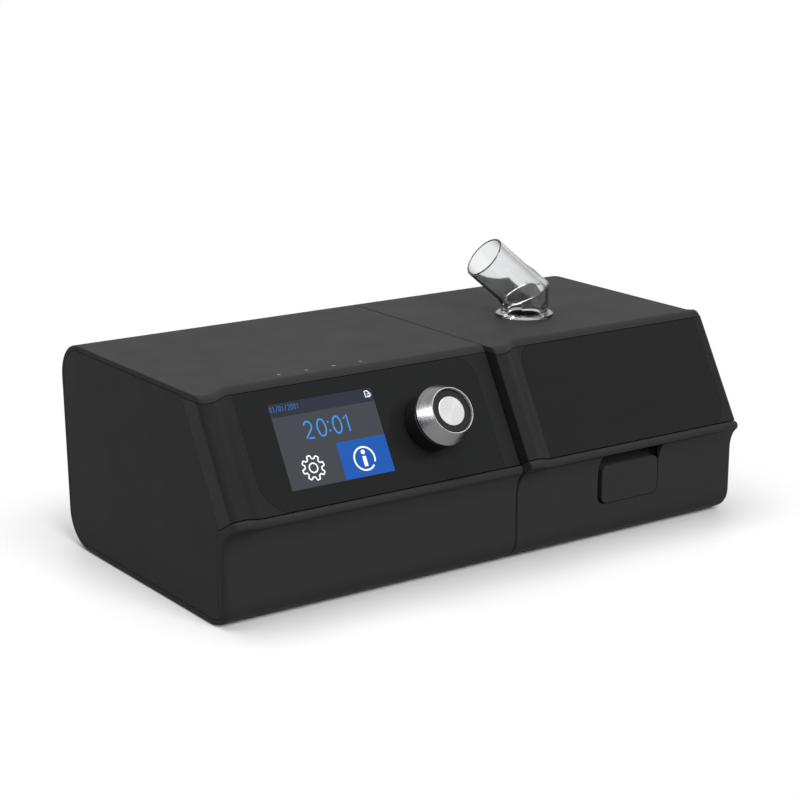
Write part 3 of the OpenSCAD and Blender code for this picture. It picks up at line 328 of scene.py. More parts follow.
def carried(outline, axis, ends):
    """Rings of a flat outline, one at each end along the axis that it lacks."""
    return np.stack([np.insert(np.asarray(outline, float), axis, end, 1) for end in ends])


def on_slope(points):
    """Local X, up the slope, outward becomes X, Y, Z: the slope leans from the lip's seam."""
    x, s, n = np.moveaxis(np.asarray(points, float), -1, 0)
    return np.stack([x, SEAM[0] + s * COS - n * SIN, SEAM[1] + s * SIN + n * COS], -1)


def prism_x(outline, x0, x1):
    """Outline in Y and Z, anticlockwise seen from the right, carried along X."""
    return loft("prism", carried(outline, 0, (x0, x1)))


def slope_prism(outline, n0, n1):
    """Outline on the slope carried outward from n0 to n1."""
    return loft("prism", on_slope(carried(outline, 2, (n0, n1)))[::-1])


def block(low, high):
    """Box between two corners."""
    return prism_x(rectangle(low[1:], high[1:]), low[0], high[0])


def round_bar(start, end, radius, steps=96):
    """Cylinder between two points: a circle in the plane across the line, at both ends."""
    start, end = np.asarray(start, float), np.asarray(end, float)
    along = Vector(end - start).normalized()
    side = np.array(along.orthogonal().normalized())
    across = np.stack([side, np.cross(np.array(along), side)])
    ring = radius * circle(steps) @ across
    return loft("bar", np.stack([start + ring, end + ring]))


def turned(profile, steps=192):
    """Rings of a profile of radius and height turned around Z; merging closes an end of radius zero."""
    radius, height = np.asarray(profile, float).T[..., None, None]
    return np.concatenate([radius * circle(steps), np.repeat(height, steps, 1)], -1)


# Solids cut from each other

def facing_out(mesh):
    """Merges doubled points and turns the mesh so that its faces look outward."""
    work = bmesh.new()
    work.from_mesh(mesh)
    bmesh.ops.remove_doubles(work, verts=work.verts, dist=1e-7)
    bmesh.ops.recalc_face_normals(work, faces=work.faces)
    work.to_mesh(mesh)
    work.free()
    return mesh


def combine(mesh, tools, operation="DIFFERENCE"):
    """One solid with each tool solid taken away from it or added to it."""
    body = make_piece("body", facing_out(mesh))
    helpers = [make_piece("tool", facing_out(tool)) for tool in tools]
    for helper in helpers:
        step = body.modifiers.new("cut", "BOOLEAN")
        step.operation = operation
        step.solver = "MANIFOLD"
        step.object = helper
    result = bpy.data.meshes.new_from_object(body.evaluated_get(bpy.context.evaluated_depsgraph_get()))
    for scrap in [body] + helpers:
        bpy.data.objects.remove(scrap)
    return result


def finished(name, meshes, material, slot, body, *nodes, sharp=30.0):
    """Piece from meshes, smooth but for edges beyond an angle, with material, body and nodes; slot is not
    used.
    """
    parts = [make_piece(name, mesh) for mesh in meshes]
    piece = parts[0]
    if len(parts) > 1:
        with bpy.context.temp_override(active_object=piece, selected_editable_objects=parts,
                                       selected_objects=parts, object=piece):
            bpy.ops.object.join()
    mesh = piece.data
    mesh.polygons.foreach_set("use_smooth", np.ones(len(mesh.polygons), bool))
    mesh.set_sharp_from_angle(angle=math.radians(sharp))
    mesh.materials.clear()
    mesh.materials.append(material)
    weigh = piece.modifiers.new("even shading", "WEIGHTED_NORMAL")
    weigh.keep_sharp = True
    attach(piece, body)
    if nodes:
        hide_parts(*nodes)


# Materials

# Sockets of a Mix node that mixes colours
MIX_A, MIX_B, MIX_RESULT = 6, 7, 2


def feed(node, key, value):
    """Sets a node's input to a value, or links it where the value is another node's output."""
    if isinstance(value, bpy.types.NodeSocket):
        node.id_data.links.new(value, node.inputs[key])
    else:
        node.inputs[key].default_value = value


def output_of(tree, kind, output, inputs=None, **settings):
    """One output of a new shader node with its settings and inputs."""
    node = tree.nodes.new("ShaderNode" + kind)
    for name, value in settings.items():
        setattr(node, name, value)
    for key, value in (inputs or {}).items():
        feed(node, key, value)
    return node.outputs[output]


class Recipe:
    """A material under construction: its node tree, its shader and short ways to add nodes."""

    def __init__(self, name, colour, rough, metal=0.0, specular=0.5):
        self.material = bpy.data.materials.new(name)
        self.material.use_nodes = True
        self.tree = self.material.node_tree
        self.colour = colour
        self.where = output_of(self.tree, "TexCoord", "Object")
        self.set("Base Color", (*colour, 1))
        self.set("Roughness", rough)
        self.set("Metallic", metal)
        self.set("Specular IOR Level", specular)

    def set(self, name, value):
        feed(self.tree.nodes["Principled BSDF"], name, value)

    def noise(self, scale, detail=3.0, stretch=None, where=None):
        """Noise on the piece's own coordinates or on others, stretched by a scale for each axis."""
        where = where or self.where
        if stretch:
            where = output_of(self.tree, "Mapping", "Vector", {"Scale": stretch, "Vector": where})
        inputs = {"Scale": scale, "Detail": detail, "Vector": where}
        return output_of(self.tree, "TexNoise", "Fac", inputs)

    def spread(self, value, low, high):
        """The middle of a pattern's range spread from low to high."""
        inputs = {"From Min": 0.3, "From Max": 0.7, "To Min": low, "To Max": high, "Value": value}
        return output_of(self.tree, "MapRange", "Result", inputs)

    def tint(self, value, low, high):
        """Base colour between low and high times the recipe's colour."""
        ends = [(*[min(c * times, 1) for c in self.colour], 1) for times in (low, high)]
        inputs = {MIX_A: ends[0], MIX_B: ends[1], "Factor": value}
        self.set("Base Color", output_of(self.tree, "Mix", MIX_RESULT, inputs, data_type="RGBA"))

    def roughen(self, value, low, high):
        self.set("Roughness", self.spread(value, low, high))

    def bump(self, value, height, strength=1.0):
        inputs = {"Distance": height, "Strength": strength, "Height": value}
        self.set("Normal", output_of(self.tree, "Bump", "Normal", inputs))


def moulded(name, colour, rough, grain=4200.0, specular=0.5):
    """Moulded plastic: fine spark-eroded grain, slow clouds in roughness and a faintly uneven colour."""
    recipe = Recipe(name, colour, rough, specular=specular)
    slow = recipe.noise(55.0, 4.0)
    recipe.tint(slow, 0.94, 1.06)
    recipe.roughen(slow, rough - 0.03, rough + 0.04)
    recipe.bump(recipe.noise(grain, 2.0), 0.00002, 0.6)
    return recipe.material


def gloss_panel():
    """Glossy black panel: dark acrylic with very slight waviness and a thin haze of wiping marks."""
    recipe = Recipe("gloss_black_panel", (0.0085, 0.0087, 0.009), 0.22, specular=0.08)
    wipe = recipe.noise(90.0, 6.0, stretch=(0.35, 1.0, 1.0))
    recipe.roughen(wipe, 0.2, 0.28)
    recipe.tint(wipe, 0.93, 1.08)
    recipe.bump(recipe.noise(40.0, 1.0), 0.000012, 0.3)
    return recipe.material


def brushed(name, colour, rough, around=True, lines_dark=0.9):
    """Brushed metal: lines from stretched noise, around the axis by the piece's own U, or along X."""
    recipe = Recipe(name, colour, rough, metal=1.0)
    if around:
        uv = output_of(recipe.tree, "UVMap", "UV", uv_map="turn")
        lines = recipe.noise(1.0, stretch=(2.0, 120.0, 1.0), where=uv)
        tangent = output_of(recipe.tree, "Tangent", "Tangent", direction_type="UV_MAP", uv_map="turn")
        recipe.set("Tangent", tangent)
        recipe.set("Anisotropic", 0.8)
    else:
        lines = recipe.noise(900.0, stretch=(0.06, 1.0, 1.0))
    recipe.tint(lines, lines_dark, 2 - lines_dark)
    recipe.roughen(lines, rough - 0.05, rough + 0.08)
    recipe.bump(lines, 0.000005, 0.3)
    return recipe.material


def clear_plastic(name, colour, rough=0.03, loss=0.0):
    """Clear moulded plastic with faint flow waves; with loss, light fades in long ways, and painted shade
    darkens the colour where the surface is seen edge-on.
    """
    recipe = Recipe(name, colour, rough)
    tree = recipe.tree
    recipe.set("Transmission Weight", 1.0)
    recipe.set("IOR", 1.49)
    if loss:
        depth = output_of(tree, "VolumeAbsorption", "Volume", {"Color": (0, 0, 0, 1), "Density": loss})
        feed(tree.nodes["Material Output"], "Volume", depth)
        # Painted shade: the colour falls to half where the surface is seen edge-on, for the darker
        # surroundings seen at the elbow's outline.
        edge = output_of(tree, "LayerWeight", "Facing", {"Blend": 0.5})
        recipe.tint(recipe.spread(edge, 0.0, 1.0), 1.0, 0.5)
    flow = recipe.noise(70.0, 2.0, stretch=(1.0, 1.0, 0.4))
    recipe.roughen(flow, rough, rough + 0.03)
    recipe.bump(flow, 0.00002, 0.25)
    return recipe.material


def rubber():
    """Soft black rubber: dull, with a coarse uneven skin."""
    recipe = Recipe("black_rubber", (0.018, 0.018, 0.019), 0.75, specular=0.3)
    uneven = recipe.noise(1500.0, 4.0)
    recipe.roughen(uneven, 0.68, 0.85)
    recipe.bump(uneven, 0.00004, 0.8)
    return recipe.material


def foam():
    """Open filter foam: pits from a Voronoi pattern over grey fibre."""
    recipe = Recipe("filter_foam", (0.35, 0.37, 0.39), 0.95, specular=0.1)
    cells = output_of(recipe.tree, "TexVoronoi", "Distance", {"Scale": 1100.0, "Vector": recipe.where})
    recipe.tint(cells, 0.35, 1.15)
    recipe.bump(cells, 0.0004)
    return recipe.material


def board():
    """Green circuit board: solder mask over faint copper tracks drawn by a brick pattern."""
    recipe = Recipe("circuit_board", (0.02, 0.13, 0.06), 0.35)
    inputs = {"Scale": 160.0, "Mortar Size": 0.03, "Vector": recipe.where}
    tracks = output_of(recipe.tree, "TexBrick", "Fac", inputs)
    recipe.tint(tracks, 1.0, 1.9)
    recipe.bump(tracks, 0.00003, 0.5)
    return recipe.material


def lit(name, colour, glow):
    """Ink of the display: its colour, plus a soft light of its own, behind a fine pixel grid."""
    recipe = Recipe(name, colour, 0.3, specular=0.2)
    recipe.tint(recipe.noise(3500.0, 1.0), 0.94, 1.05)
    recipe.set("Emission Color", (*colour, 1))
    recipe.set("Emission Strength", glow)
    return recipe.material


case_black = moulded("matte_black_case", (0.0195, 0.0197, 0.0202), 0.55, specular=0.055)
fascia_black = moulded("satin_black_fascia", (0.011, 0.0112, 0.0117), 0.48, specular=0.09)
collar_black = moulded("satin_black_collar", (0.006, 0.006, 0.0065), 0.3, grain=2500.0, specular=0.3)
inner_black = moulded("inner_black_plastic", (0.06, 0.06, 0.065), 0.55)
light_grey = moulded("light_pipe_grey", (0.05, 0.052, 0.055), 0.3)
white_plastic = moulded("white_plastic", (0.75, 0.75, 0.74), 0.45)
card_blue = moulded("card_plastic", (0.03, 0.06, 0.14), 0.4)
panel_black = gloss_panel()
# Painted shade: the cone's aluminium gets a dark colour, far below the cap's, so that the white surround
# reflects in it as grey; this stands for darker surroundings seen in the cone, and its bright wedges come
# from the knob's own lamps.
knob_alu_painted_dark = brushed("turned_aluminium_painted_dark", (0.2, 0.2, 0.205), 0.24, lines_dark=0.85)
cap_alu = brushed("turned_cap_aluminium", (0.76, 0.76, 0.765), 0.3, lines_dark=0.96)
steel = brushed("brushed_steel", (0.6, 0.6, 0.62), 0.3, around=False)
heater_alu = brushed("satin_aluminium", (0.7, 0.7, 0.71), 0.35, around=False)
element_film = moulded("heater_film", (0.45, 0.27, 0.1), 0.4)
clear_elbow = clear_plastic("clear_polycarbonate", (0.96, 0.965, 0.97), loss=60.0)
clear_tub = clear_plastic("clear_tub_plastic", (0.9, 0.94, 0.96), 0.06)
black_rubber = rubber()
filter_foam = foam()
green_board = board()

# CAD nodes that stay as they are, by their finish
NODE_FINISHES = (
    (inner_black, "port_wall encoder_ring power_inlet blower_base blower_cover intake_box outlet_duct"),
    (inner_black, "elbow_socket heater_frame"),
    (steel, "knob_post card_slot blower_motor dock_contacts dock_pins case_screws hinge_pins"),
    (steel, "heater_screws"),
    (black_rubber, "blower_mounts port_seal main_feet outlet_seal tub_seal hum_feet"),
    (green_board, "display_board main_board dock_board"),
    (clear_tub, "water_tub tub_lid"),
    (case_black, "filter_cover"),
    (filter_foam, "air_filter"),
    (white_plastic, "impeller"),
    (card_blue, "memory_card"),
    (heater_alu, "heater_plate"),
    (element_film, "heater_element"),
)
for finish, node_names in NODE_FINISHES:
    for node_name in node_names.split():
        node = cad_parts[node_name]
        if not node.material_slots:
            node.data.materials.append(finish)
        for place in node.material_slots:
            place.material = finish


# Shared cutting shapes

def slope_line(z, n):
    """Y at height z of a plane parallel to the slanted front, n outside it."""
    return APEX_Y - (Z_TOP - z) / TAN - n / SIN


def knee_at(y, n):
    """Height at which the plane n outside the slanted front meets an upright at y."""
    return SEAM[1] + (y - slope_line(SEAM[1], n)) * TAN


def hollow_outline():
    """Hollow of a module in Y and Z: arcs a wall inside the outer form's, cut off behind the fascia."""
    n = -(FASCIA_T + FIT - HAIR)
    y0 = FRONT_Y + WALL
    r_top, r_front = TOP_ROUND - WALL, FRONT_ROUND - WALL
    return np.concatenate([
        arc(LOW_C, BOTTOM_ROUND - WALL, -90, -REAR_LEAN, 16),
        arc([REAR_C[0], Z_UNDER - r_top], r_top, -REAR_LEAN, 90, 16),
        [[slope_line(Z_UNDER, n), Z_UNDER], [y0, knee_at(y0, n)]],
        arc([y0 + r_front, Z_IN + r_front], r_front, 180, 270, 12)])


def fascia_space(depth):
    """Space of the slanted fascia in Y and Z, down to a depth below its face."""
    near = -(depth + FIT)
    far = CHEEK + 4
    return np.array([
        [slope_line(Z_UNDER, near), Z_UNDER],
        [slope_line(Z_UNDER, far), Z_UNDER],
        SEAM + far * OUT + HAIR * DOWN,
        SEAM + near * OUT + HAIR * DOWN])


def end_outline(g, lead):
    """Opening for the left end panel in Y and Z: the hollow's arcs moved out by a rim and cut off behind
    the front's return, drawn in by g at the rear and by lead at the front."""
    n = -(RETURN_D + FIT + lead)
    y0 = FRONT_Y + END_FRONT + lead
    wall = WALL - END_RIM + g
    r_top = TOP_ROUND - wall
    top_z = Z_UNDER + END_RIM - g
    foot = arc([FRONT_Y + FRONT_ROUND, Z_BOT + FRONT_ROUND], FRONT_ROUND - wall, 180, 270, 24)
    foot = foot[foot[:, 0] > y0]
    return np.concatenate([
        arc(LOW_C, BOTTOM_ROUND - wall, -90, -REAR_LEAN, 24),
        arc([REAR_C[0], top_z - r_top], r_top, -REAR_LEAN, 90, 24),
        [[slope_line(top_z, n), top_z], [y0, knee_at(y0, n)], [y0, foot[0, 1]]],
        foot])


def fascia_outline(x0, x1, left, right, depth):
    """Fascia in X and outward direction: its face with the raised end, its back and its left return."""
    x = stations(x0, x1, left, right)
    face = np.stack([x, rise_at(x, x0, x1, left, right)], -1)
    foot = CHEEK_FLAT + CHEEK_RAMP * np.linspace(1, 0, 24)
    back = np.stack([x0 + foot, CHEEK * cheek_ramp(foot) - FASCIA_T], -1)
    return np.concatenate([
        [[x0, -depth]], face, [[x1, -FASCIA_T]], back,
        [[x0 + WALL, CHEEK - FASCIA_T], [x0 + WALL, -depth]]])[::-1]


def panel_outline(panel, g):
    """Outline of a glossy panel on the slope, drawn in by g."""
    x0, x1, radii = panel
    return rounded_outline([x0 + g, g - RUN_OUT], [x1 - g, S_TOP + RUN_OUT - g], radii)


def above_brow():
    return block([X_LEFT - 5, -CASE_D, Z_UNDER - SEAM_GAP], [X_RIGHT + 5, CASE_D, 2 * CASE_H])


def knob_hole(reach):
    start, end = on_slope([[*KNOB_AT, -reach], [*KNOB_AT, reach]])
    return round_bar(start, end, KNOB_HOLE_R, 128)


def screen_block(g, n0, n1):
    """The screen's rectangle, drawn out by g, from n0 to n1 outside the slope."""
    half = np.array([SCREEN_W / 2 + g, SCREEN_H / 2 + g])
    return slope_prism(rectangle(SCREEN_AT - half, SCREEN_AT + half), n0, n1)


def slanted_fascia(name, outline, panel, openings, body, node):
    """Fascia carried up the slope, with the bed of its glossy panel and its openings."""
    solid = loft("prism", on_slope(carried(outline, 1, (SEAM_GAP, SLOPE_LEN + CHEEK))))
    bed = slope_prism(panel_outline(panel, -FIT), -PANEL_T, CHEEK + 10)
    mesh = combine(solid, [above_brow(), bed] + openings)
    finished(name, [mesh], fascia_black, "matte_case", body, node)


def glossy_panel(name, panel, openings, body, node):
    """Panel flush with the slope, cut off at the brow and at the lip."""
    solid = slope_prism(panel_outline(panel, 0), -PANEL_T, 0)
    below_seam = slope_prism(rectangle([X_LEFT - 5, -30], [X_RIGHT + 5, SEAM_GAP]), -10, 10)
    mesh = combine(solid, [above_brow(), below_seam] + openings)
    finished(name, [mesh], panel_black, "gloss_panel", body, node)


# Main module

def main_shell(across_joint, openings):
    """Outer form less what is across the case joint, hollow, end panel, fascia and openings."""
    return combine(case_solid(X_LEFT, X_MAIN, LEFT_ROUND, FACING_ROUND, END_ROUND), [
        across_joint,
        prism_x(hollow_outline(), X_LEFT + WALL, X_MAIN + 1),
        prism_x(end_outline(0, -HAIR), X_LEFT - 1, X_LEFT + END_T),
        prism_x(fascia_space(FASCIA_T), X_LEFT - 1, X_MAIN + 1),
        prism_x(fascia_space(RETURN_D), X_LEFT - 1, X_LEFT + WALL + FIT)] + openings)


def main_top_cover():
    """Rear, top and brow above the case joint, with holes for the status lights."""
    lights = [round_bar([x, LIGHT_Y, Z_UNDER - 1], [x, LIGHT_Y, Z_TOP + 1], LIGHT_R + HAIR, 48)
              for x in LIGHT_X]
    below = block([X_LEFT - 1, -CASE_D, -1], [X_MAIN + 1, CASE_D, Z_SPLIT + SEAM_GAP])
    mesh = main_shell(below, lights)
    finished("shell_main_top", [mesh], case_black, "matte_case", "machine", "main_top_cover")


def main_base():
    """Floor, rear, lower front and lip below the case joint, with its openings at the rear."""
    above = block([X_LEFT - 1, -CASE_D, Z_SPLIT], [X_MAIN + 1, CASE_D, 2 * CASE_H])

    def on_rear(at, points):
        """Local X, outward and up the leaning rear face, from a place on it, becomes X, Y, Z."""
        x, z = at
        drop = REAR_C[1] - TOP_ROUND * LEAN_SIN - z
        y = REAR_C[0] + TOP_ROUND * LEAN_COS - drop * LEAN_SIN / LEAN_COS
        lean = np.array([[1, 0, 0], [0, LEAN_COS, -LEAN_SIN], [0, LEAN_SIN, LEAN_COS]])
        return points @ lean + [x, y, z]

    def rear_block(at, half, depth, proud):
        """Box from a depth in the rear face to a distance outside it."""
        flat = rectangle([-depth, -half[1]], [proud, half[1]])
        return loft("prism", on_rear(at, carried(flat, 0, (-half[0], half[0]))))

    jack = round_bar(*on_rear(JACK_AT, np.array([[0, -10, 0], [0, 4, 0]])), JACK_R)
    openings = [rear_block(FILTER_AT, FILTER_HALF, 12, 4), jack, rear_block(CARD_AT, CARD_HALF, 6, 6)]
    screws = [round_bar([x, y, Z_BOT - 1], [x, y, Z_BOT + 3], SCREW_R, 64)
              for x in SCREW_X for y in SCREW_Y]
    mesh = main_shell(above, openings + screws)
    finished("shell_main_base", [mesh], case_black, "matte_case", "machine", "main_base")


def end_panel():
    """Flat plate in the left end, a seam's width inside its opening."""
    mesh = facing_out(prism_x(end_outline(SEAM_GAP, FIT), X_LEFT, X_LEFT + END_T))
    finished("left_end_panel", [mesh], case_black, "matte_case", "machine", "end_panel")


def main_fascia():
    outline = fascia_outline(X_LEFT, X_MAIN, LEFT_ROUND, FACING_ROUND, RETURN_D)
    openings = [screen_block(SCREEN_GAP, -10, 10), knob_hole(10)]
    slanted_fascia("main_slanted_fascia", outline, CONTROL_PANEL, openings, "machine", "main_fascia")


def control_panel():
    openings = [screen_block(0, -8, 8), knob_hole(8)]
    glossy_panel("glossy_control_panel", CONTROL_PANEL, openings, "machine", "control_panel")


def status_lights():
    """Four light pipes, each a turned pin with a rounded tip a hair below the top."""
    tip_z = Z_TOP - HAIR
    tip = arc([LIGHT_R - LIGHT_EDGE, tip_z - LIGHT_EDGE], LIGHT_EDGE, 0, 90, 6)
    foot_z = Z_TOP - LIGHT_LEN
    pin = turned(np.concatenate([[[0, foot_z], [LIGHT_R, foot_z]], tip, [[0, tip_z]]]), 48)
    meshes = [facing_out(loft("light", pin + [x, LIGHT_Y, 0], caps=False)) for x in LIGHT_X]
    finished("status_lights_lenses", meshes, light_grey, "light_pipe", "machine", "status_lights")


# Knob

def rounded_profile(points, radius, steps=5):
    """Profile whose inner corners are cut by quadratic curves, from a point before each to one after."""
    p = np.asarray(points, float)
    here = p[1:-1, None]
    t = np.linspace(0, 1, steps)[:, None]
    legs = [p[:-2, None] - here, p[2:, None] - here]
    lengths = [np.linalg.norm(leg, axis=-1, keepdims=True) for leg in legs]
    r = np.minimum(radius, np.minimum(*lengths) / 2.5)
    a, b = [here + leg / length * r for leg, length in zip(legs, lengths)]
    curves = (1 - t) ** 2 * a + 2 * t * (1 - t) * here + t ** 2 * b
    return np.concatenate([p[:1], curves.reshape(-1, 2), p[-1:]])


def knob_turning(name, points, radius, closed=False, steps=192):
    """Rounded profile turned about the knob's axis; U of its UV map runs around, V along the profile."""
    profile = rounded_profile(points, radius)
    rings = on_slope(turned(profile, steps) + [*KNOB_AT, 0])
    mesh = loft(name, rings, caps=False, close_along=closed)
    index = np.empty(len(mesh.loops), int)
    mesh.loops.foreach_get("vertex_index", index)
    u = (index % steps) / steps
    v = (index // steps) / (len(profile) - 1)
    turn_back = np.repeat(u.reshape(-1, 4).max(1) > 0.9, 4) & (u < 0.1)
    u = np.where(turn_back, u + 1, u)
    layer = mesh.uv_layers.new(name="turn")
    layer.data.foreach_set("uv", np.stack([u, v], -1).astype(np.float32).ravel())
    return facing_out(mesh)


def knob_collar():
    """Fixed collar: a turned ring with rounded rim around the post."""
    under = COLLAR_H - COLLAR_T
    foot = 0.02
    mesh = knob_turning("collar", [
        [POST_HOLE_R, under], [POST_HOLE_R, COLLAR_H], [COLLAR_R, COLLAR_H], [COLLAR_R, foot],
        [NECK_R, foot], [NECK_R, -NECK_D], [NECK_BORE, -NECK_D], [NECK_BORE, under],
        [POST_HOLE_R + 0.01, under]], 0.8)
    finished("knob_fixed_collar", [mesh], collar_black, "knob_black", "machine", "knob_collar")


def knob_shell():
    """Turned cone with a narrow polished rim: a closed profile around the axis."""
    back = CONE_N + 0.01
    mesh = knob_turning("cone", [
        [CORE_R, back], [KNOB_FACE_R + 1, back], [KNOB_BACK_R, back], [KNOB_FACE_R, FACE_N],
        [KNOB_FACE_R - RIM_W, FACE_N], [CORE_R, FACE_N - FACE_SINK], [CORE_R, back + 0.5]], 0.25, True)
    finished("knob_aluminium_cone", [mesh], knob_alu_painted_dark, "knob_metal", "knob", "knob_shell", sharp=50)


def knob_core():
    """Black core: skirt behind the cone and the recessed ring in its face."""
    inner = CORE_R - 0.01
    floor_n = FACE_N - FACE_SINK
    cap_hole = CAP_R + 0.05
    mesh = knob_turning("core", [
        [KNOB_BORE, RING_N], [SKIRT_R, RING_N], [SKIRT_R, CONE_N], [inner, CONE_N], [inner, floor_n],
        [cap_hole, floor_n], [cap_hole, CAP_N], [KNOB_BORE, CAP_N], [KNOB_BORE, RING_N + 0.01]], 0.25)
    finished("knob_black_core", [mesh], collar_black, "knob_black", "knob", "knob_core")


def knob_cap():
    """Flat cap with a fine edge radius."""
    top = CAP_N + CAP_H
    mesh = knob_turning("cap", [
        [0, CAP_N], [CAP_R, CAP_N], [CAP_R, top - 0.3], [CAP_R - 0.4, top - 0.06], [0, top]], 0.2)
    finished("knob_silver_cap", [mesh], cap_alu, "knob_metal", "knob", "knob_cap", sharp=50)


# Display

SCREEN_N = -0.12
SCREEN_T = 3.18
INK = 0.02

# Lines of each sign in a box of width and height one, each with a flag that says if it closes on itself
STROKES = {
    "0": [(0.5 + 0.5 * circle(40), True)],
    "1": [([[0.1, 0.78], [0.55, 1.0], [0.55, 0.5], [0.55, 0.0]], False)],
    "2": [(np.concatenate([arc([0.5, 0.7], 0.3, 165, -35, 20) * [1.5, 1] - [0.25, 0],
                           [[0.02, 0.02], [0.5, 0.0], [1.0, 0.0]]]), False)],
    "/": [([[0.1, -0.1], [0.5, 0.5], [0.9, 1.1]], False)],
    ":": [([[0.5, low], [0.5, low + 0.12]], False) for low in (0.18, 0.7)],
}


def screen_point(u, v):
    """Place on the display from shares of its width, from the left, and of its height, from the top."""
    return SCREEN_AT + [(u - 0.5) * SCREEN_W, (0.5 - v) * SCREEN_H]


def ink_patch(outline, level):
    """Thin plate of ink on the display; a higher level lies on a lower one."""
    n0 = SCREEN_N + INK * (level - 1)
    return facing_out(slope_prism(outline, n0, n0 + INK))


def ink_line(points, width, level, closed=False):
    """Thin strip along a line: each point moved half the width to both sides, along its normal."""
    p = np.asarray(points, float)
    along = np.roll(p, -1, 0) - np.roll(p, 1, 0) if closed else np.gradient(p, axis=0)
    along /= np.linalg.norm(along, axis=1, keepdims=True)
    side = np.stack([-along[:, 1], along[:, 0]], -1) * width / 2
    low, high = SCREEN_N + INK * (level - 1), SCREEN_N + INK * level
    corners = [np.insert(p + way * side, 2, n, 1)
               for way, n in ((-1, low), (1, low), (1, high), (-1, high))]
    return facing_out(loft("line", on_slope(np.stack(corners, 1)), not closed, closed))


def digits(words, places, size, width, at, level):
    """Strokes of a row of signs, each sign's box of one size centred on its place along the row."""
    made = []
    for sign, place in zip(words, places):
        for line, closed in STROKES[sign]:
            points = at + [place, 0] + (np.asarray(line) - 0.5) * size
            made.append(ink_line(points, width, level, closed))
    return made


def gear_sign():
    """Gear outline: a circle whose radius steps in and out eight times, and a hub circle."""
    centre = screen_point(0.251, 0.785)
    around = circle(192)
    wave = np.clip(2.6 * np.sin(8 * np.arctan2(around[:, 1:], around[:, :1])), -1, 1)
    rim = centre + SCREEN_H * (0.124 + 0.018 * wave) * around
    hub = centre + SCREEN_H * 0.053 * around
    return [ink_line(rim, 0.62, 1, True), ink_line(hub, 0.62, 1, True)]


def info_sign():
    """Open circle with a dot over a bar."""
    centre = screen_point(0.744, 0.7925)
    ring = arc(centre, 0.134 * SCREEN_H, -24, 318, 72)
    dot = arc(centre + [0, 0.077 * SCREEN_H], 0.027 * SCREEN_H, 0, 345, 23)
    bar = centre + rectangle([-0.9, -3.5], [0.9, 1.1]) * SLOPE_K
    return [ink_line(ring, 0.8, 2), ink_patch(dot, 2), ink_patch(bar, 2)]


def card_sign():
    """Small card with a cut corner and a window, both in outline."""
    at = screen_point(0.95, 0.07)
    card = np.array([[-1.3, -1.3], [0.9, -1.3], [0.9, 0.5], [0.1, 1.4], [-1.3, 1.4]]) + at
    window = rectangle([-0.3, -0.9], [1.6, 0.1]) + at
    return [ink_line(card, 0.5, 2, True), ink_line(window, 0.3, 2, True)]


def display():
    """Lit display: grey field, dark band with the date, blue tile, clock and three signs."""
    def patch(u0, u1, v0, v1):
        return [ink_patch(rectangle(screen_point(u0, v1), screen_point(u1, v0)), 1)]

    clock = digits("20:01", (-11.4, -4.7, -0.9, 3.4, 8.8), (4.1, 7.6), 0.72, screen_point(0.52, 0.356), 1)
    date = digits("01/01/2001", np.arange(-6.75, 7, 1.5), (1.0, 2.3), 0.34, screen_point(0.142, 0.065), 2)
    field = facing_out(screen_block(-FIT, SCREEN_N - SCREEN_T, SCREEN_N))
    grey = lit("display_grey", (0.0242, 0.0264, 0.032), 0.35)
    finished("display_module", [field], grey, "screen_glass", "machine", "screen_module")
    for name, ink, colour, glow, meshes in (
            ("display_status_band", "display_band", (0.0099, 0.0125, 0.0205), 0.3,
             patch(0.004, 0.996, 0.005, 0.16)),
            ("display_blue_tile", "display_tile", (0.0043, 0.045, 0.2), 0.45,
             patch(0.52, 0.996, 0.56, 0.995)),
            ("display_clock", "display_blue", (0.02, 0.13, 0.36), 0.7, clock),
            ("display_date", "display_dim_blue", (0.015, 0.06, 0.16), 0.5, date),
            ("display_signs", "display_white", (0.42, 0.44, 0.46), 0.75,
             gear_sign() + info_sign() + card_sign())):
        finished(name, meshes, lit(ink, colour, glow), "screen_glass", "machine")


# Humidifier

def across_lid_joint(g, far_z):
    """Space in Y and Z from the joint of lid and base, moved g towards the lid, to a far height."""
    return np.array([
        [CASE_D, HINGE[1]], [LID_BACK + g, HINGE[1]], [LID_BACK + g, LID_Z + g],
        [slope_line(LID_Z + g, LID_N + g), LID_Z + g], [slope_line(LIP_CUT + g, LID_N + g), LIP_CUT + g],
        [-CASE_D, LIP_CUT + g], [-CASE_D, far_z], [CASE_D, far_z]])


def hinge_bar(x, half, radius, steps=96):
    """Round bar on the hinge's axis, half its length to both sides of x."""
    return round_bar([x - half, *HINGE], [x + half, *HINGE], radius, steps)


def stem_bar(y0, y1, radius):
    """Round bar on the axis of the button's stem."""
    return round_bar([STEM_X, y0, STEM_Z], [STEM_X, y1, STEM_Z], radius, 64)


def button_recess():
    """Rounded recess of the button and of the fingertip beside and above it."""
    low, high = BUTTON_LOW - [FINGER_SIDE, BUTTON_GAP], [BUTTON_HIGH[0] + BUTTON_GAP, Z_TOP]
    outline = rounded_outline(low, high, (BUTTON_R + FINGER_SIDE / 2, BUTTON_R, 0, 0))
    return loft("prism", carried(outline, 1, (FRONT_Y - 20, RECESS_Y)))


def hinge_lug(x):
    """Barrel on a foot, with the hole of the hinge pin."""
    half = LUG_W / 2
    foot = block([x - half, HINGE[0] - LUG_R, HINGE[1] - LUG_DROP],
                 [x + half, HINGE[0] + LUG_R, HINGE[1]])
    lug = combine(hinge_bar(x, half, LUG_R), [foot], "UNION")
    return combine(lug, [hinge_bar(x, LUG_W, PIN_R + HAIR, 48)])


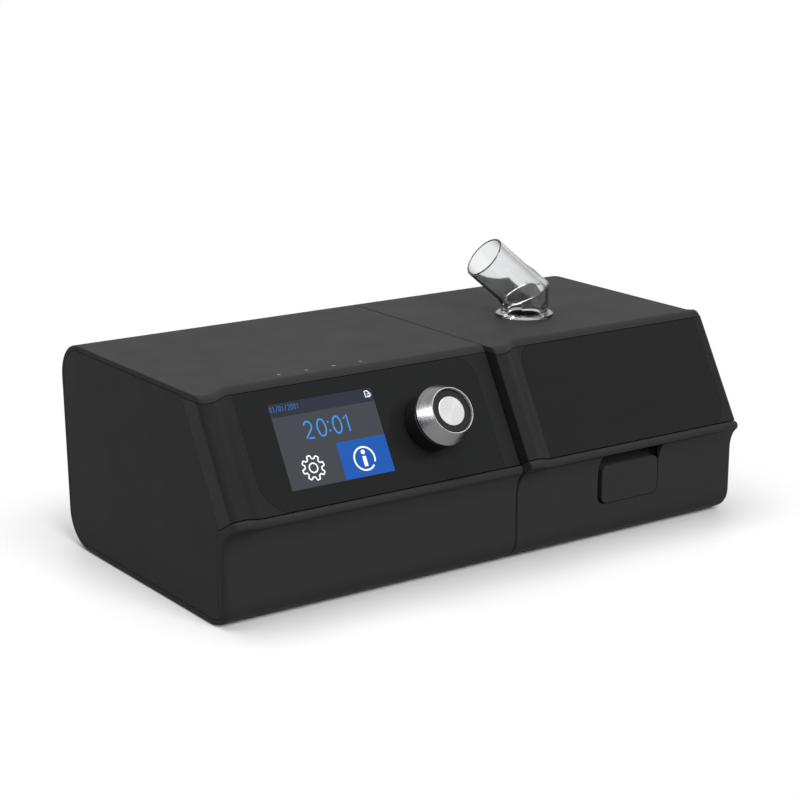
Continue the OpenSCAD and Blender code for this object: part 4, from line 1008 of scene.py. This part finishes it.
def hum_base():
    """Tub bay: outer form below the joint, hollow, walled finger recess, port, hinge lugs and rails."""
    hinge_room = block([X_HUM - 1, LID_BACK, HINGE[1] - BARREL_R - 0.7],
                       [X_RIGHT + 1, CASE_D, 2 * CASE_H])
    port = round_bar([X_HUM - 1, *PORT_AT], [X_HUM + WALL + 1, *PORT_AT], PORT_R)
    shell = combine(humidifier_form(), [
        prism_x(hollow_outline(), X_HUM + WALL, X_RIGHT - WALL),
        prism_x(across_lid_joint(0, 2 * CASE_H), X_HUM - 1, X_RIGHT + 1),
        hinge_room, button_recess(), port])
    back = block([BUTTON_LOW[0] - FINGER_SIDE - RECESS_T, FRONT_Y + 1, BUTTON_LOW[1] - 2],
                 [BUTTON_HIGH[0] + 2, RECESS_Y + RECESS_T, LIP_CUT - 0.02])
    meshes = [shell, combine(back, [button_recess(), stem_bar(RECESS_Y - 1, RECESS_Y + 3, STEM_R + 0.3)])]
    meshes += [hinge_lug(x) for x in LUG_X]
    tub_low, tub_high = box_mm("water_tub")
    rail_w = 4
    for x in (tub_low[0] + 2, tub_high[0] - 2 - rail_w):
        rail = block([x, tub_low[1] + 6, Z_BOT + 1], [x + rail_w, tub_high[1] - 8, tub_low[2]])
        meshes.append(facing_out(rail))
    finished("shell_humidifier_base", meshes, case_black, "matte_case", "machine", "hum_base")


def lid_frame():
    """Lid: outer form above the joint, less the hollow and the fascia's space, with its hinge barrel."""
    shell = combine(humidifier_form(), [
        prism_x(across_lid_joint(SEAM_GAP, -CASE_H)[::-1], X_HUM - 1, X_RIGHT + 1),
        prism_x(hollow_outline(), X_HUM + WALL, X_RIGHT - WALL),
        prism_x(fascia_space(FASCIA_T), X_HUM - 1, X_RIGHT + 1)])
    barrel = round_bar([X_HUM, *HINGE], [X_RIGHT, *HINGE], BARREL_R)
    cuts = [round_bar([*ELBOW_AT, Z_UNDER - 1], [*ELBOW_AT, Z_TOP + 1], SPIGOT_R + FIT)]
    half = LUG_W / 2 + LUG_GAP
    for x in LUG_X:
        low = [x - half, HINGE[0], HINGE[1] - NOTCH_D]
        behind = HINGE[0] + 10
        cuts += [
            hinge_bar(x, half, NOTCH_R), block(low, [x + half, behind, HINGE[1] + NOTCH_R]),
            block(low - np.array([0, NOTCH_R, 0]), [x + half, behind, HINGE[1]]),
            hinge_bar(x, PIN_HALF, PIN_R, 48)]
    mesh = combine(combine(shell, [barrel], "UNION"), cuts)
    finished("shell_lid", [mesh], case_black, "matte_case", "lid", "lid_frame")


def lid_fascia():
    outline = fascia_outline(X_HUM, X_RIGHT, FACING_ROUND, RIGHT_ROUND, FASCIA_T)
    slanted_fascia("lid_slanted_fascia", outline, LID_PANEL, [], "lid", "lid_fascia")


def lid_panel():
    glossy_panel("glossy_lid_panel", LID_PANEL, [], "lid", "lid_panel")


def release_button():
    """Plate of rounded rectangles, drawn in by a quarter round at the face, and its stem."""
    rings = []
    for drawn, depth in BUTTON_EDGE - arc([0, 0], BUTTON_EDGE, 90, 0, 6):
        outline = rounded_outline(BUTTON_LOW + drawn, BUTTON_HIGH - drawn, [BUTTON_R - drawn] * 4, 14)
        rings.append(np.insert(outline, 1, FRONT_Y + depth, 1))
    rings.append(rings[-1] + [0, BUTTON_T - BUTTON_EDGE, 0])
    plate = facing_out(loft("plate", np.stack(rings)))
    stem = facing_out(stem_bar(FRONT_Y + 3, RECESS_Y + 2, STEM_R))
    finished("release_button_plate", [plate, stem], case_black, "matte_case", "button", "release_button")


def elbow_ring(radius, along, tilt=0.0, steps=128):
    """Circle square to an axis that leans from Z towards X by the tilt, at a distance from the bend."""
    x, y = radius * circle(steps).T
    lean_cos, lean_sin = cos_sin(tilt)
    return np.stack([x * lean_cos + along * lean_sin, y, along * lean_cos - x * lean_sin], -1)


def mitre_ring(radius, steps=128):
    """Circle of the upright tube on the mitre: height is minus X times the tangent of half the tilt."""
    x, y = radius * circle(steps).T
    return np.stack([x, y, -x * math.tan(math.radians(ELBOW_TILT / 2))], -1)


def outlet_elbow():
    """Clear elbow: one closed skin that runs up the outside, round the mouth and down the inside."""
    edge = 0.3
    floor_z = 0.15 - BEND_H
    flange_z = floor_z + FLANGE_T
    foot_z = -TOP_T - SOCKET_H - BEND_H
    step = ELBOW_LEN - OUTLET_LEN
    upright = [elbow_ring(radius, z) for radius, z in (
        (SPIGOT_BORE, foot_z), (SPIGOT_R - edge, foot_z), (SPIGOT_R, foot_z + edge), (SPIGOT_R, floor_z),
        (FLANGE_R - edge, floor_z), (FLANGE_R, floor_z + edge), (FLANGE_R, flange_z - edge),
        (FLANGE_R - edge, flange_z), (ELBOW_R + 0.5, flange_z), (ELBOW_R, flange_z + 0.5))]
    slanted = [elbow_ring(radius, along, ELBOW_TILT) for radius, along in (
        (ELBOW_R, step - 3), (OUTLET_R, step + 0.5), (OUTLET_R, ELBOW_LEN - 0.35),
        (OUTLET_R - 0.35, ELBOW_LEN), (MOUTH_BORE + 0.25, ELBOW_LEN), (MOUTH_BORE, ELBOW_LEN - 0.25))]
    inside = [mitre_ring(MITRE_BORE), mitre_ring(UPRIGHT_BORE), elbow_ring(SPIGOT_BORE, floor_z)]
    rings = np.stack(upright + [mitre_ring(ELBOW_R)] + slanted + inside)
    turn_cos, turn_sin = cos_sin(ELBOW_TURN)
    turn = np.array([[turn_cos, turn_sin, 0], [-turn_sin, turn_cos, 0], [0, 0, 1]])
    placed = rings @ turn + [*ELBOW_AT, Z_TOP + BEND_H]
    mesh = facing_out(loft("elbow", placed, caps=False, close_along=True))
    finished("outlet_clear_elbow", [mesh], clear_elbow, "clear_plastic", "elbow", "outlet_elbow",
             sharp=24)


for build_piece in (
        main_top_cover, main_base, end_panel, main_fascia, control_panel, status_lights,
        knob_collar, knob_shell, knob_core, knob_cap, display,
        hum_base, lid_frame, lid_fascia, lid_panel, release_button, outlet_elbow):
    build_piece()


# Studio

FLOOR_HALF = 4000
FLOOR_GREY, BOUNCE_GREY = 0.69, 0.28
FADE_END = 0.085


def seen_directly(tree):
    """One for rays from the camera, off metal and gloss or through glass: the highest of three flags."""
    highest, *others = [output_of(tree, "LightPath", flag) for flag in (
        "Is Camera Ray", "Is Glossy Ray", "Is Transmission Ray")]
    for other in others:
        highest = output_of(tree, "Math", "Value", {0: highest, 1: other}, operation="MAXIMUM")
    return highest


def blend_into(output, share, first, second):
    """The first shader, with the second over it by a share, into an output's surface."""
    inputs = {"Fac": share, 1: first, 2: second}
    feed(output, "Surface", output_of(output.id_data, "MixShader", "Shader", inputs))


def floor_and_backdrop():
    """Pale floor whose shading, with the object's shadow, fades to pure white with distance from the
    footprint; the light it throws back onto the object is held down."""
    square = rectangle([-FLOOR_HALF, -FLOOR_HALF], [FLOOR_HALF, FLOOR_HALF])
    floor = make_piece("studio_floor", make_mesh("floor", np.insert(square, 2, 0, 1), [[0, 1, 2, 3]]))
    recipe = Recipe("studio_white", (FLOOR_GREY,) * 3, 0.45, specular=0.2)
    tree = recipe.tree
    recipe.tint(output_of(tree, "LightPath", "Is Diffuse Ray"), 1, BOUNCE_GREY / FLOOR_GREY)
    away = recipe.where
    half_plan = (X_RIGHT * MM, Y_BACK * MM, 0)
    for step, other in (("ABSOLUTE", (0, 0, 0)), ("SUBTRACT", half_plan), ("MAXIMUM", (0, 0, 0))):
        away = output_of(tree, "VectorMath", "Vector", {0: away, 1: other}, operation=step)
    away = output_of(tree, "VectorMath", "Value", {0: away}, operation="LENGTH")
    fade = output_of(tree, "MapRange", "Result", {"From Max": FADE_END, "Value": away},
                     interpolation_type="SMOOTHSTEP")
    seen = output_of(tree, "Math", "Value", {0: fade, 1: seen_directly(tree)}, operation="MULTIPLY")
    blend_into(tree.nodes["Material Output"], seen, tree.nodes["Principled BSDF"].outputs["BSDF"],
               output_of(tree, "Emission", "Emission"))
    floor.data.materials.append(recipe.material)


def pale_surround():
    """World: pure white where the camera, metal and glass see it, a soft light on everything else."""
    world = bpy.data.worlds.new("studio")
    bpy.context.scene.world = world
    world.use_nodes = True
    tree = world.node_tree
    soft, seen = [
        output_of(tree, "Background", "Background", {"Color": (1, 1, 1, 1), "Strength": strength})
        for strength in (0.25, 1.0)]
    blend_into(tree.nodes["World Output"], seen_directly(tree), soft, seen)


def softbox(name, place, target, size, watts, in_gloss=True, only=None):
    """Rectangular lamp aimed at a point; only, where given, names the pieces that it lights."""
    lamp = bpy.data.lights.new(name, "AREA")
    lamp.shape = "RECTANGLE"
    lamp.size, lamp.size_y = size
    lamp.energy = watts
    holder = make_piece(name, lamp)
    holder.location = place
    holder.visible_glossy = in_gloss
    holder.rotation_euler = (Vector(target) - Vector(place)).to_track_quat("-Z", "Y").to_euler()
    if only:
        lit_pieces = bpy.data.collections.new(name)
        for piece in only:
            lit_pieces.objects.link(bpy.data.objects[piece])
        holder.light_linking.receiver_collection = lit_pieces


def studio():
    """Floor, surround, two lamps on everything and three that bring out the knob and the elbow."""
    floor_and_backdrop()
    pale_surround()
    knob, elbow = (-0.03, -0.07, 0.08), (0.06, 0, 0.11)
    cone = "knob_aluminium_cone"
    softbox("overhead", (-0.3, 0.22, 1.3), (0, 0, 0), (1.3, 1.1), 15)
    softbox("front", (-0.15, -1.2, 0.85), (0, 0, 0.04), (0.9, 0.6), 27, in_gloss=False)
    softbox("knob_side", (-0.96, 0.2, 0.24), knob, (0.35, 0.45), 9, only=(cone, "knob_fixed_collar"))
    softbox("knob_rim", (0.6, -0.8, 0.75), knob, (0.45, 0.45), 5, only=(cone,))
    softbox("elbow_rim", (0.35, 1.0, 0.66), elbow, (0.25, 0.5), 5, only=("outlet_clear_elbow",))


# The photograph's camera in metres, solved from the case's straight edges
CAMERA_AT = (-0.55032, -0.76291, 0.31587)
CAMERA_RIGHT = (0.81563, -0.57856, 0.00435)
CAMERA_BACK = (-0.55987, -0.78735, 0.25812)
LENS, SENSOR = 91.82, 36


def camera():
    lens = bpy.data.cameras.new("photo_view")
    lens.lens, lens.sensor_width = LENS, SENSOR
    lens.clip_start, lens.clip_end = 0.05, 20
    holder = make_piece("photo_view", lens)
    back = Vector(CAMERA_BACK).normalized()
    up = back.cross(Vector(CAMERA_RIGHT)).normalized()
    right = up.cross(back).normalized()
    turn = Matrix((right, up, back)).transposed()
    holder.matrix_world = Matrix.Translation(CAMERA_AT) @ turn.to_4x4()
    bpy.context.scene.camera = holder


studio()
camera()
bpy.context.scene.view_settings.view_transform = "Standard"
